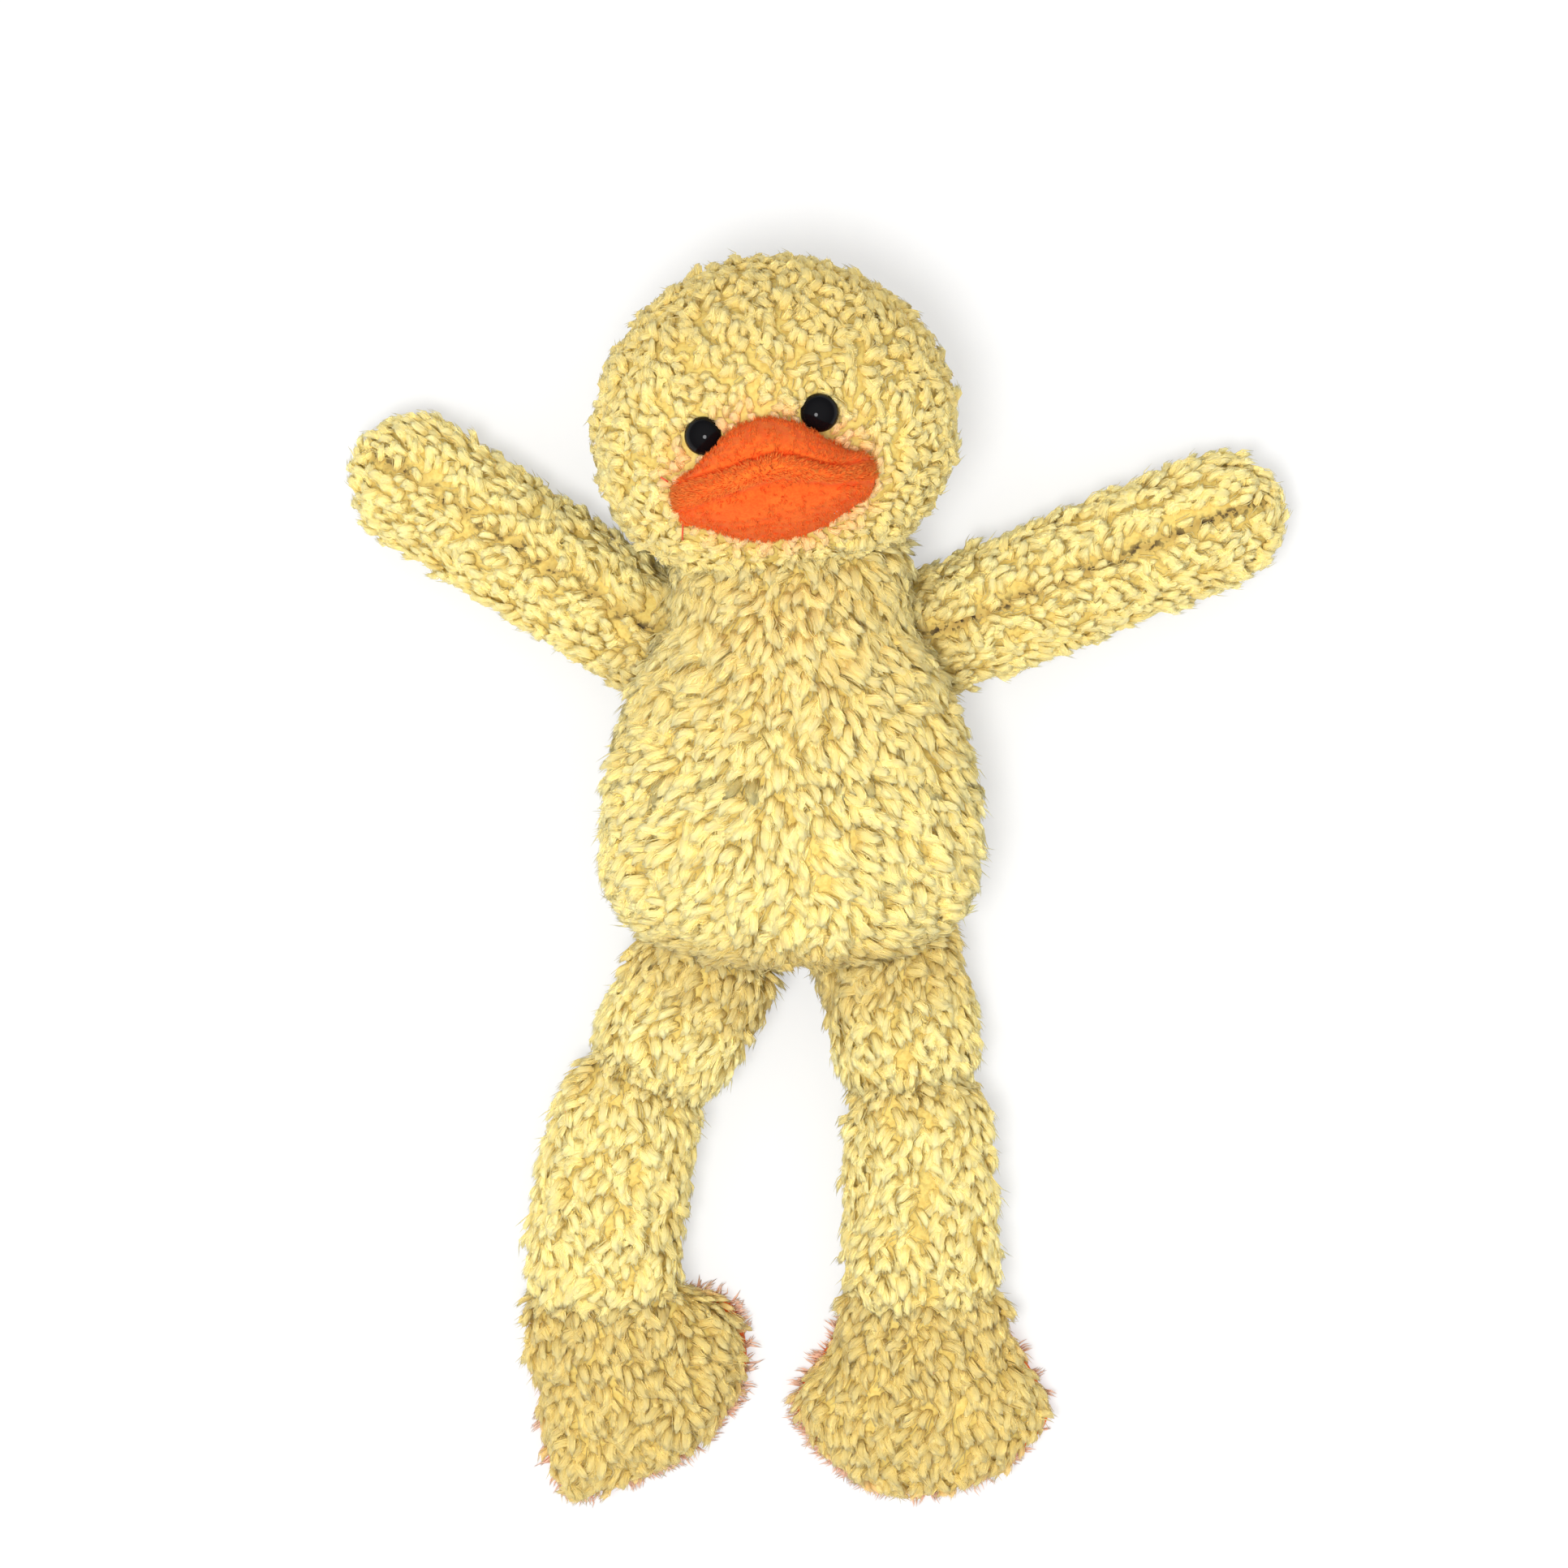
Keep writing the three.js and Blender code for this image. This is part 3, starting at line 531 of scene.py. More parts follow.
def foot_skin(side):
    outline = footprint(side, 2.4)
    crown = np.array([0.0, -0.4 * FOOT_LENGTH])
    ankle = np.array([*ANKLE[side], 0.0])
    low, high = SOLE_THICKNESS + 0.4, FOOT_HEIGHT - PILE_DEPTH
    rings = []
    for angle in np.linspace(0, 1.45, 10):
        flat = crown + (outline - crown) * math.cos(angle) ** 0.8
        height = np.full((len(flat), 1), low + 1.5 + (high - low - 1.5) * math.sin(angle))
        rings.append(np.hstack([flat, height]) + ankle)
    under = np.hstack([outline * 0.985, np.full((len(outline), 1), low)]) + ankle
    rings.insert(0, under)
    shares = spread_shares(16)
    first = np.array([*ANKLE[side], ANKLE_HEIGHT]) + (0, 7, 0.5)
    path = between_points(first, first + (0, -INSTEP_LENGTH - 9, -1.5), 0.0, shares)
    closing = rounded(shares, 0.25, 0.35)
    widths = (INSTEP_HALF_WIDTH - PILE_DEPTH) * closing
    depths = (INSTEP_HALF_DEPTH - PILE_DEPTH) * closing
    return skin_of(f"{side}_foot_skin", rings, tube(path, widths, depths))


for side in ("left", "right"):
    limb_skins[f"{side}_foot"] = foot_skin(side)
print("foot skins", len(limb_skins["left_foot"].data.polygons), "faces on the left")

# %% [markdown]
# Stuffing swells a sewn cover everywhere except along its seams. Blender's cloth does that here: each skin
# is drawn in a little, pressure pushes it out, the line of its seam is held, and no point may move far. At
# this size the cloth gives only tenths of a millimetre, so the shape is mostly the one drawn above.

# %% Stuff the skins
PRESSURE, STUFFING_FRAMES, MOST_SWELL, SEAM_HALF_WIDTH = 22.0, 20, 1.4, 2.4
POINT_MASS, STRETCH, SLACK = 0.002, 1.5, 0.5


def on_limb_seam(places, first, last):
    """Points on the front line of a limb, where its cover is sewn shut."""
    heading = (last - first)[:2] / np.linalg.norm((last - first)[:2])
    off_axis = places[:, :2] - first[:2]
    aside = off_axis @ np.array([-heading[1], heading[0]])
    return (np.abs(aside) < SEAM_HALF_WIDTH) & (places[:, 2] > first[2])


def limb_ends(name):
    side, part = name.split("_")
    shoulder = np.array([*ARM_ROOT[side], ARM_AXIS])
    angle = math.radians(ARM_DIRECTION[side])
    hand = shoulder + ARM_REACH[side] * np.array([math.cos(angle), math.sin(angle), 0.0])
    hip, knee = np.array([*HIP[side], LEG_AXIS]), np.array([*KNEE[side], LEG_AXIS])
    ankle = np.array([*ANKLE[side], LEG_AXIS])
    return {"arm": (shoulder, hand), "thigh": (hip, knee), "shin": (knee, ankle)}.get(part)


def held_points(name, skin):
    places = places_of(skin) / MM
    if name == "body":
        return np.abs(places[:, 2] - BODY_AXIS) < SEAM_HALF_WIDTH
    if name == "head":
        return np.abs(places[:, 2] - HEAD_MIDDLE[2]) < SEAM_HALF_WIDTH
    if name.endswith("foot"):
        return places[:, 2] < SOLE_THICKNESS + 2.5
    return on_limb_seam(places, *limb_ends(name))


def stuff(skins):
    before = {}
    for name, skin in skins.items():
        before[name] = places_of(skin) - SLACK * MM * normals_of(skin)
        put_places(skin, before[name])
        seam = skin.vertex_groups.new(name="seam")
        seam.add([int(i) for i in np.flatnonzero(held_points(name, skin))], 1.0, "REPLACE")
        cloth = skin.modifiers.new("stuffing", "CLOTH")
        cloth.settings.use_pressure = True
        cloth.settings.uniform_pressure_force = PRESSURE
        cloth.settings.mass = POINT_MASS
        cloth.settings.tension_stiffness = STRETCH
        cloth.settings.compression_stiffness = STRETCH
        cloth.settings.shear_stiffness = STRETCH / 3
        cloth.settings.effector_weights.gravity = 0.0
        cloth.settings.vertex_group_mass = "seam"
        cloth.collision_settings.use_collision = False
        cloth.point_cache.frame_start = 1
        cloth.point_cache.frame_end = STUFFING_FRAMES
    for step in range(1, STUFFING_FRAMES + 1):
        scene.frame_set(step)
    for name, skin in skins.items():
        settle(skin)
        skin.vertex_groups.clear()
        move = places_of(skin) - before[name]
        length = np.linalg.norm(move, axis=1)
        move *= (np.minimum(length, MOST_SWELL * MM) / np.maximum(length, 1e-9))[:, None]
        put_places(skin, before[name] + move)
        print(name, "swelled", round(float(np.mean(np.linalg.norm(move, axis=1))) / MM, 2), "mm on average")
    scene.frame_set(1)


skins = {"body": body_skin, "head": head_skin, **limb_skins}
stuff(skins)

# %% [markdown]
# The pile is combed by the way the cloth was cut and handled. Each skin gets a direction for its pile at
# every point, how dense and how long it is there, where it takes a peach tint and where it is darker tan,
# which is mostly painted shade. On the belly it fans out from the chest, on limbs it runs to the ends and
# parts at the front seam, on the head it turns every way.

# %% Directions of the pile


def store(piece, name, values):
    values = np.asarray(values, np.float32)
    kind = "FLOAT_VECTOR" if values.ndim == 2 else "FLOAT"
    field = "vector" if values.ndim == 2 else "value"
    layer = piece.data.attributes.new(name, kind, "POINT")
    layer.data.foreach_set(field, values.ravel())


def smoothed(values, low, high):
    share = np.clip((values - low) / (high - low), 0, 1)
    return share * share * (3 - 2 * share)


def comb(skin, flow, cover=1.0, length=1.0, tan=0.0, lint=0.0, seam=0.0):
    """Stores on a skin the flow of its pile, laid flat on the surface, and the pile's other values."""
    normals = normals_of(skin)
    flow = flow - normals * np.sum(flow * normals, axis=1)[:, None]
    flow /= np.maximum(np.linalg.norm(flow, axis=1), 1e-9)[:, None]
    store(skin, "comb", flow)
    for name, value in (("cover", cover), ("length", length), ("tan", tan), ("lint", lint), ("seam", seam)):
        store(skin, name, np.broadcast_to(value, len(flow)))


places = places_of(body_skin) / MM
flow = np.stack([places[:, 0] * 0.05, np.full(len(places), -1.0), np.zeros(len(places))], axis=1)
pressed = smoothed(places[:, 2], 12.0, 2.0)
# Painted shade: tan darkens the crotch, under the chin and the crease where the belly hangs over the
# thighs. The chest is also a little darker towards the neck.
crotch = smoothed(np.linalg.norm(places - (0, -33, 40), axis=1), 16.0, 4.0)
under_chin = smoothed(places[:, 1], 40.0, 50.0) * smoothed(places[:, 2], 30.0, 45.0)
creased = smoothed(places[:, 1], -26.0, -33.0)
tan = np.maximum(0.5 * crotch + 0.3 * under_chin, 0.5 * creased)
tan = np.maximum(tan, 0.16 * smoothed(places[:, 1], 5.0, 30.0))
comb(body_skin, flow, length=1.12 - 0.3 * pressed, tan=tan)

FACE_MIDDLE = HEAD_MIDDLE + face_turn @ np.array([0.0, -15.5, 36.6])
places = places_of(head_skin) / MM
flow = places - FACE_MIDDLE
near_bill = smoothed(np.linalg.norm(places - FACE_MIDDLE, axis=1), 34.0, 18.0)
length = 0.95 - 0.2 * near_bill - 0.25 * smoothed(places[:, 2], 12.0, 2.0)
# A peach tint rings the bill.
lint = 0.45 * smoothed(np.linalg.norm((places - FACE_MIDDLE) * (0.85, 1.35, 0.8), axis=1), 24.5, 19.0)
# Painted shade: tan darkens the crown, and the whole head is a little darker tan too.
crown = smoothed((places - FACE_MIDDLE)[:, 1], 12.0, 42.0)
comb(head_skin, flow, length=length, tan=0.1 + 0.22 * crown, lint=lint)


def limb_comb(skin, first, last, seam_share=0.0, root_shade=0.0):
    """Pile runs from first to last, parts along the front seam of the cover, and is darkened tan at its
    root, painted shade where the limb joins.
    """
    heading = (last - first) / np.linalg.norm(last - first)
    places = places_of(skin) / MM
    off_axis = places - first
    tan = root_shade * smoothed(off_axis @ heading, 9.0, 1.0)
    off_axis -= np.outer(off_axis @ heading, heading)
    aside = off_axis @ np.array([-heading[1], heading[0], 0.0])
    on_front = smoothed(off_axis[:, 2], 4.0, 8.0)
    near = smoothed(np.abs(aside), 2.2, 0.4) * on_front * seam_share
    parted = smoothed(np.abs(aside), 9.0, 1.0) * on_front * seam_share
    side_way = np.outer(np.sign(aside) * parted, [-heading[1], heading[0], 0.0])
    flow = heading + side_way * 0.9
    pressed = smoothed(places[:, 2], 9.0, 2.0)
    length = 1.0 - 0.25 * pressed - 0.25 * near
    comb(skin, flow, cover=1 - 0.6 * near, length=length, tan=tan, seam=near)


for side in ("left", "right"):
    seam_on_leg = 0.4 if side == "left" else 0.0
    limbs = (("arm", 1.0, 0.3), ("thigh", seam_on_leg, 0.45), ("shin", seam_on_leg, 0.3))
    for part, seam_share, root_shade in limbs:
        name = f"{side}_{part}"
        limb_comb(limb_skins[name], *limb_ends(name), seam_share, root_shade)
    ankle = np.array([*ANKLE[side], LEG_AXIS])
    skin = limb_skins[f"{side}_foot"]
    places = places_of(skin) / MM
    toes = places - (ankle + (0, 6, -8))
    rim = smoothed(places[:, 2], 6.5, 3.0)
    comb(skin, toes + (0, -8, 0), tan=0.5, lint=0.3 * rim, length=1.0 - 0.1 * rim)
print("combed", 2 + len(limb_skins), "skins")

# %% [markdown]
# Fleece pile hangs together in locks. A lock is a soft core that rises, leans with the comb, curls over
# and closes to a tip, thatched with fibres that follow it and end raggedly round the tip. A handful of
# different locks is enough, because each copy is turned, scaled and toned at random. Leaves are the flatter
# locks of the body and the legs, curls the hooked ones of the head and the arms.

# %% Lock shapes
LOCK_KINDS = 14
CORE_SIDES, CORE_SHARE = 5, 0.86
CORE_STATIONS = (0.1, 0.4, 0.74, 0.98)
CORE_SHAPE = (0.8, 1.0, 0.85, 0.0)
FIBRES, STRAYS, FIBRE_RADIUS = 9, 1, 0.16
FIBRE_STATIONS = (0.18, 0.62, 1.0)
FIBRE_SHAPE = (1.0, 0.95, 0.0)
LOCK_STYLES = {
    "leaf": {
        "length": 6.6, "lean": (50, 66), "hook": (92, 112), "curl": 1.6, "width": 1.4, "depth": 0.8,
    },
    "curl": {
        "length": 5.6, "lean": (34, 58), "hook": (96, 135), "curl": 2.0, "width": 1.35, "depth": 0.85,
    },
}
ASIDE = np.array([0.0, 1.0, 0.0])


def strand_path(lean, hook, curl, length):
    """A function of the share along a strand that rises along +Z, leans over towards +X and curls aside."""
    shares = np.linspace(0, 1, 41)
    angle = np.radians(lean + (hook - lean) * shares**1.15)
    step = length / 40
    x = np.concatenate([[0], np.cumsum(np.sin(angle[:-1]))]) * step
    z = np.concatenate([[0], np.cumsum(np.cos(angle[:-1]))]) * step
    path = np.stack([x, curl * np.sin(2.4 * shares) ** 2, z], axis=1)

    def at(share):
        tilt = np.interp(share, shares, angle)
        middle = np.array([np.interp(share, shares, path[:, k]) for k in range(3)])
        return middle, np.array([math.cos(tilt), 0, -math.sin(tilt)])

    return at


def round_ring(half_width, half_depth, sides):
    turns = [math.pi / 2 + 2 * math.pi * k / sides for k in range(sides)]
    return [(half_width * math.cos(turn), -half_depth * math.sin(turn)) for turn in turns]


def swept(at, ring, stations, shape, first):
    """Points, faces, shares along and map corners of a closed form swept along a path to a tip."""
    sides = len(ring)
    points, along = [], []
    for station, thick in zip(stations, shape):
        middle, up = at(station)
        for wide, deep in ring if thick else ring[:1]:
            points.append((middle + wide * thick * ASIDE + deep * thick * up) * MM)
            along.append(station)
    rings = len(stations) - 1
    faces = ring_faces(rings, sides, first)
    corners = []
    for low, high in zip(stations, stations[1:rings]):
        for k in range(sides):
            left, right = k / sides, (k + 1) / sides
            corners += [(left, low), (right, low), (right, high), (left, high)]
    last = first + sides * (rings - 1)
    for k in range(sides):
        faces.append((last + k, last + (k + 1) % sides, last + sides))
        corners += [(k / sides, stations[-2]), ((k + 1) / sides, stations[-2]), ((k + 0.5) / sides, 1.0)]
    faces.append(tuple(first + k for k in reversed(range(sides))))
    for k in reversed(range(sides)):
        turn = 2 * math.pi * k / sides
        corners.append((0.5 + 0.4 * math.cos(turn), 0.04 * math.sin(turn) - 0.05))
    return points, faces, along, corners


def thatched(bend, aside, rise, closing=0.4):
    """A path moved aside and outwards, closing a little towards the tip."""

    def at(share):
        middle, up = bend(share)
        return middle + (1 - closing * share) * (aside * ASIDE + rise * up), up

    return at


def joined(name, forms, tones):
    """One object of several swept forms. Each keeps a strip of the map for baking to itself."""
    points, faces, along, corners, tone_of = [], [], [], [], []
    for i, (form, tone) in enumerate(zip(forms, tones)):
        points += form[0]
        faces += form[1]
        along += form[2]
        corners += [((i + 0.1 + 0.8 * u) / len(forms), 0.1 + 0.85 * v) for u, v in form[3]]
        tone_of += [tone] * len(form[0])
    mesh = bpy.data.meshes.new(name)
    mesh.from_pydata([tuple(p) for p in points], [], faces)
    mesh.polygons.foreach_set("use_smooth", [True] * len(mesh.polygons))
    made = bpy.data.objects.new(name, mesh)
    store(made, "along", along)
    store(made, "strand_tone", tone_of)
    mesh.uv_layers.new(name="OFBake").data.foreach_set("uv", np.array(corners, np.float32).ravel())
    return made


def lock_object(style, index):
    rng = np.random.default_rng(100 + index)
    wanted = LOCK_STYLES[style]
    lean, hook = rng.uniform(*wanted["lean"]), rng.uniform(*wanted["hook"])
    curl = rng.uniform(-wanted["curl"], wanted["curl"])
    width, depth = wanted["width"] * rng.uniform(0.8, 1.15), wanted["depth"] * rng.uniform(0.85, 1.15)
    core = strand_path(lean, hook, curl, wanted["length"])
    core_ring = round_ring(CORE_SHARE * width, CORE_SHARE * depth, CORE_SIDES)
    forms = [swept(core, core_ring, CORE_STATIONS, CORE_SHAPE, 0)]
    for fibre in range(FIBRES):
        stray = 3.0 if fibre < STRAYS else 1.0
        bend = strand_path(
            lean + stray * rng.normal(0, 3),
            hook + stray * rng.normal(0, 9),
            curl + stray * rng.normal(0, 0.4),
            wanted["length"] * rng.uniform(0.85, 1.1) * (1.15 if fibre < STRAYS else 1.0),
        )
        bearing = 1.3 * math.pi * ((fibre + rng.uniform(0.1, 0.9)) / FIBRES - 0.5) + math.pi / 2
        spread = rng.uniform(0.8, 1.1)
        at = thatched(bend, spread * width * math.cos(bearing), -spread * depth * math.sin(bearing))
        ring = round_ring(FIBRE_RADIUS, FIBRE_RADIUS, 3)
        forms.append(swept(at, ring, FIBRE_STATIONS, FIBRE_SHAPE, sum(len(form[0]) for form in forms)))
    return joined(f"{style}_{index}", forms, rng.uniform(size=len(forms)))


locks = {}
for style in LOCK_STYLES:
    locks[style] = bpy.data.collections.new(f"{style}_locks")
    for index in range(LOCK_KINDS):
        locks[style].objects.link(lock_object(style, index))

# %% [markdown]
# Geometry Nodes plant the locks. Points are scattered at an even spacing, each lock stands on the surface,
# turns to the comb with some swirl and chance, and takes a random tone. The tree ends in plain faces with
# the pile's finish on them.

# %% Planting tree


def planting_tree():
    tree = bpy.data.node_groups.new("plant_locks", "GeometryNodeTree")
    wanted = (
        ("Skin", "Geometry"), ("Locks", "Collection"), ("Finish", "Material"), ("Spacing", "Float"),
        ("Scale", "Float"), ("Swirl", "Float"), ("Chance", "Float"), ("Seed", "Int"),
    )
    for name, kind in wanted:
        tree.interface.new_socket(name, in_out="INPUT", socket_type=f"NodeSocket{kind}")
    tree.interface.new_socket("Pile", in_out="OUTPUT", socket_type="NodeSocketGeometry")
    source = tree.nodes.new("NodeGroupInput")
    inputs = {name: Wire(tree, source.outputs[name]) for name, _ in wanted}
    start = Wire(tree)

    def attribute(name, kind="FLOAT"):
        return start.node("GeometryNodeInputNamedAttribute", {"Name": name}, data_type=kind)

    def chance(low, high, seed_step):
        sockets = {"Min": low, "Max": high, "Seed": inputs["Seed"] + seed_step}
        return start.node("FunctionNodeRandomValue", sockets, out="Value", data_type="FLOAT")

    spacing = inputs["Spacing"]
    scatter = {
        "Mesh": inputs["Skin"], "Distance Min": spacing, "Density Max": 2.2 * spacing**-2.0,
        "Density Factor": attribute("cover"), "Seed": inputs["Seed"],
    }
    points = start.node(
        "GeometryNodeDistributePointsOnFaces", scatter, out="Points", distribute_method="POISSON"
    )
    normal = Wire(tree, points.out.node.outputs["Normal"])
    place = start.node("GeometryNodeInputPosition")
    noise = start.node("ShaderNodeTexNoise", {"Vector": place, "Scale": 95.0, "Detail": 1.0})
    spin = (noise - 0.5) * inputs["Swirl"] + chance(-1.0, 1.0, 1) * inputs["Chance"]
    tilt = start.node(
        "ShaderNodeCombineXYZ", {"X": chance(-0.3, 0.3, 2), "Y": chance(-0.25, 0.25, 3), "Z": spin}
    )
    turn = start.node("FunctionNodeAlignRotationToVector", {"Vector": normal}, axis="Z")
    combed = {"Rotation": turn, "Vector": attribute("comb", "FLOAT_VECTOR")}
    turn = start.node("FunctionNodeAlignRotationToVector", combed, axis="X", pivot_axis="Z")
    tilted = {"Rotation": turn, "Rotate By": tilt}
    turn = start.node("FunctionNodeRotateRotation", tilted, rotation_space="LOCAL")
    kinds = start.node(
        "GeometryNodeCollectionInfo",
        {"Collection": inputs["Locks"], "Separate Children": True, "Reset Children": True},
    )
    pick = start.node(
        "FunctionNodeRandomValue", {"Min": 0, "Max": LOCK_KINDS - 1, "Seed": inputs["Seed"] + 4},
        out="Value", data_type="INT",
    )
    length = attribute("length") * chance(0.78, 1.12, 5)
    scale = inputs["Scale"]
    sides = {"X": scale * length, "Y": scale * (length * 0.5 + 0.5), "Z": scale * length}
    size = start.node("ShaderNodeCombineXYZ", sides)
    planted = start.node(
        "GeometryNodeInstanceOnPoints",
        {
            "Points": points, "Instance": kinds, "Pick Instance": True, "Instance Index": pick,
            "Rotation": turn, "Scale": size,
        },
    )
    toned = start.node(
        "GeometryNodeStoreNamedAttribute",
        {"Geometry": planted, "Name": "lock_tone", "Value": chance(0.0, 1.0, 6)},
        data_type="FLOAT", domain="INSTANCE",
    )
    plain = start.node("GeometryNodeRealizeInstances", {"Geometry": toned})
    finished = start.node("GeometryNodeSetMaterial", {"Geometry": plain, "Material": inputs["Finish"]})
    sink = tree.nodes.new("NodeGroupOutput")
    wire(tree, sink.inputs["Pile"], finished)
    return tree


plant_locks = planting_tree()
print("planting tree of", len(plant_locks.nodes), "nodes")

# %% [markdown]
# The pile that touches the floor is pressed flat. A smooth rule on heights does that: above a few
# millimetres nothing changes, and below that heights shrink towards the floor without reaching it.

# %% Grow the pile
SPACING = 1.75
PRESSED_BELOW = 3.0
WAIST_Y = 8.0


def tile_map(piece, corners_each):
    """Gives each copy a cell of its own in the map that baking uses, in rows of a square grid."""
    layer = piece.data.uv_layers.get("OFBake") or piece.data.uv_layers.new(name="OFBake")
    corners = np.empty(len(piece.data.loops) * 2, np.float32)
    if "OFBake" in piece.data.attributes:
        piece.data.attributes["OFBake"].data.foreach_get("vector", corners)
    corners = corners.reshape(-1, corners_each, 2)
    side = math.ceil(math.sqrt(len(corners)))
    index = np.arange(len(corners))
    cells = np.stack([index % side, index // side], axis=1)[:, None, :]
    layer.data.foreach_set("uv", ((cells + corners) / side).astype(np.float32).ravel())


def planted(name, skin, kinds, finish, seed, scale=1.0, swirl=2.0, chance=0.7, spacing=SPACING, share=None):
    """A new piece of locks or nap on a skin, or on the share of it where a mask is 1."""
    plot = bpy.data.objects.new(name, skin.data.copy())
    scene.collection.objects.link(plot)
    if share is not None:
        cover = np.empty(len(share), np.float32)
        plot.data.attributes["cover"].data.foreach_get("value", cover)
        plot.data.attributes["cover"].data.foreach_set("value", (cover * share).astype(np.float32))
    modifier = plot.modifiers.new("pile", "NODES")
    modifier.node_group = plant_locks
    values = {
        "Locks": kinds, "Finish": finish, "Spacing": spacing * MM, "Scale": scale,
        "Swirl": swirl, "Chance": chance, "Seed": seed,
    }
    for item in plant_locks.interface.items_tree:
        if item.in_out == "INPUT" and item.name in values:
            modifier[item.identifier] = values[item.name]
    settle(plot)
    for layer in ("comb", "cover", "length", "seam"):
        plot.data.attributes.remove(plot.data.attributes[layer])
    tile_map(plot, len(kinds.objects[0].data.loops))
    places = places_of(plot)
    limit = PRESSED_BELOW * MM
    low = places[:, 2] < limit
    places[low, 2] = limit * np.exp((places[low, 2] - limit) / limit)
    put_places(plot, places)
    return plot


def parts_of(skin, *masks):
    """Masks of the vertices of a skin, one for each test of their places in mm."""
    places = places_of(skin) / MM
    return [mask(*places.T).astype(np.float32) for mask in masks]


chest, belly, back_low, back_high = parts_of(
    body_skin,
    lambda x, y, z: (z > BODY_AXIS) & (y > WAIST_Y), lambda x, y, z: (z > BODY_AXIS) & (y <= WAIST_Y),
    lambda x, y, z: (z <= BODY_AXIS) & (y <= WAIST_Y), lambda x, y, z: (z <= BODY_AXIS) & (y > WAIST_Y),
)
face, nape = parts_of(head_skin, lambda x, y, z: z > HEAD_MIDDLE[2], lambda x, y, z: z <= HEAD_MIDDLE[2])
plots = [
    ("body", "chest_pile", body_skin, "leaf", chest), ("body", "belly_pile", body_skin, "leaf", belly),
    ("body", "seat_pile", body_skin, "leaf", back_low), ("body", "back_pile", body_skin, "leaf", back_high),
    ("head", "face_pile", head_skin, "curl", face), ("head", "nape_pile", head_skin, "curl", nape),
]
for name, skin in limb_skins.items():
    plots.append((name, f"{name}_pile", skin, "curl" if "arm" in name else "leaf", None))
WILD = {"body": (0.7, 2.2), "head": (1.3, 3.0)}
pile = {}
total = 0
for owner, name, skin, style, share in plots:
    chance, swirl = WILD.get(owner, (0.8, 2.0))
    seed = 11 + list(limb_skins).index(owner) if owner in limb_skins else 10
    piece = planted(name, skin, locks[style], pile_finish, seed, swirl=swirl, chance=chance, share=share)
    pile.setdefault(owner, []).append(piece)
    piece.data.calc_loop_triangles()
    total += len(piece.data.loop_triangles)
    print(name, len(piece.data.loop_triangles), "triangles")
print("pile", total, "triangles")

# %% [markdown]
# Skins and their pile move with the body of the CAD cover that they stand for.

# %% Skins' finish and bodies
BODY_OF = {"body": "torso"}
REPLACED = {
    "body": ("body_front", "body_back"), "head": ("head_front", "head_back"),
    **{name: (f"{name}_cover",) for name in limb_skins},
}
for name, skin in skins.items():
    dress(skin, backing_finish)
    body = BODY_OF.get(name, name)
    for piece in (skin, *pile[name]):
        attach(piece, body)
    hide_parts(*REPLACED[name])
print("dressed", len(skins), "skins")

# %% [markdown]
# The bill is a stuffed velvet pouch sewn to the face: a domed upper panel, a thick rolled lip where the
# panels meet, and a fuller lower panel. Four lines across it, read at a few stations, give its edges and
# the creases on both sides of the lip, and a rounded section is drawn through them at each column.

# %% Velvet finish
VELVET_TIP = linear(255, 130, 40)
VELVET_ROOT = linear(252, 84, 12)
NAP_TIP = linear(255, 150, 62)
NAP_ROOT = linear(255, 100, 14)
FRINGE_TIP = linear(255, 226, 206)
FRINGE_ROOT = linear(255, 188, 148)


def velvet(name, tip, root):
    material, start, shader = finish_named(name, roughness=0.95)
    fine = noise_on(start, 1900.0, 3.0)
    broad = noise_on(start, 260.0, 2.0)
    # The row level carries the nap's stripes, with painted shade in the bill's creases and a painted
    # highlight on its lip.
    row = read(start, "row")
    level = fine.between(0.25, 0.75) * 0.35 + broad.between(0.3, 0.7) * 0.2 + row * 0.5
    wire(start.tree, shader.inputs["Base Color"], level.mixed(root, tip))
    roughen(start, shader, fine * 0.5 + row * 0.8, 0.7, 0.0006)
    return material


velvet_finish = velvet("orange_velvet", VELVET_TIP, VELVET_ROOT)

nap_finish, start, shader = finish_named("velvet_nap", roughness=0.9)
level = read(start, "along") * 0.6 + read(start, "lock_tone") * 0.4
# The row level darkens the nap as painted shade in the creases and brightens it as a painted highlight on
# the lip.
level = level * (0.25 + read(start, "row") * 0.75)
wire(start.tree, shader.inputs["Base Color"], level.mixed(NAP_ROOT, NAP_TIP))

fringe_finish, start, shader = finish_named("sole_fringe", roughness=0.9)
level = read(start, "along") * 0.6 + read(start, "lock_tone") * 0.4
wire(start.tree, shader.inputs["Base Color"], level.mixed(FRINGE_ROOT, FRINGE_TIP))
print("made", velvet_finish.name, nap_finish.name, fringe_finish.name)

# %% Nap tufts
NAP_FIBRES, NAP_RADIUS, NAP_SPREAD = 5, 0.13, 0.5


def nap_object(index):
    """A tuft of short straight fibres that lean with the comb."""
    rng = np.random.default_rng(300 + index)
    ring = round_ring(NAP_RADIUS, NAP_RADIUS, 3)
    forms = []
    for fibre in range(NAP_FIBRES):
        root = np.array([*rng.uniform(-NAP_SPREAD, NAP_SPREAD, 2), -0.3])
        lean = rng.uniform(15, 45)
        bend = strand_path(lean, lean + rng.uniform(10, 40), rng.normal(0, 0.25), rng.uniform(1.3, 1.9))

        def at(share, root=root, bend=bend):
            middle, up = bend(share)
            return middle + root, up

        first = sum(len(form[0]) for form in forms)
        forms.append(swept(at, ring, (0.0, 0.6, 1.0), (1.0, 0.8, 0.0), first))
    return joined(f"nap_{index}", forms, rng.uniform(size=len(forms)))


nap = bpy.data.collections.new("nap_tufts")
for index in range(LOCK_KINDS):
    nap.objects.link(nap_object(index))

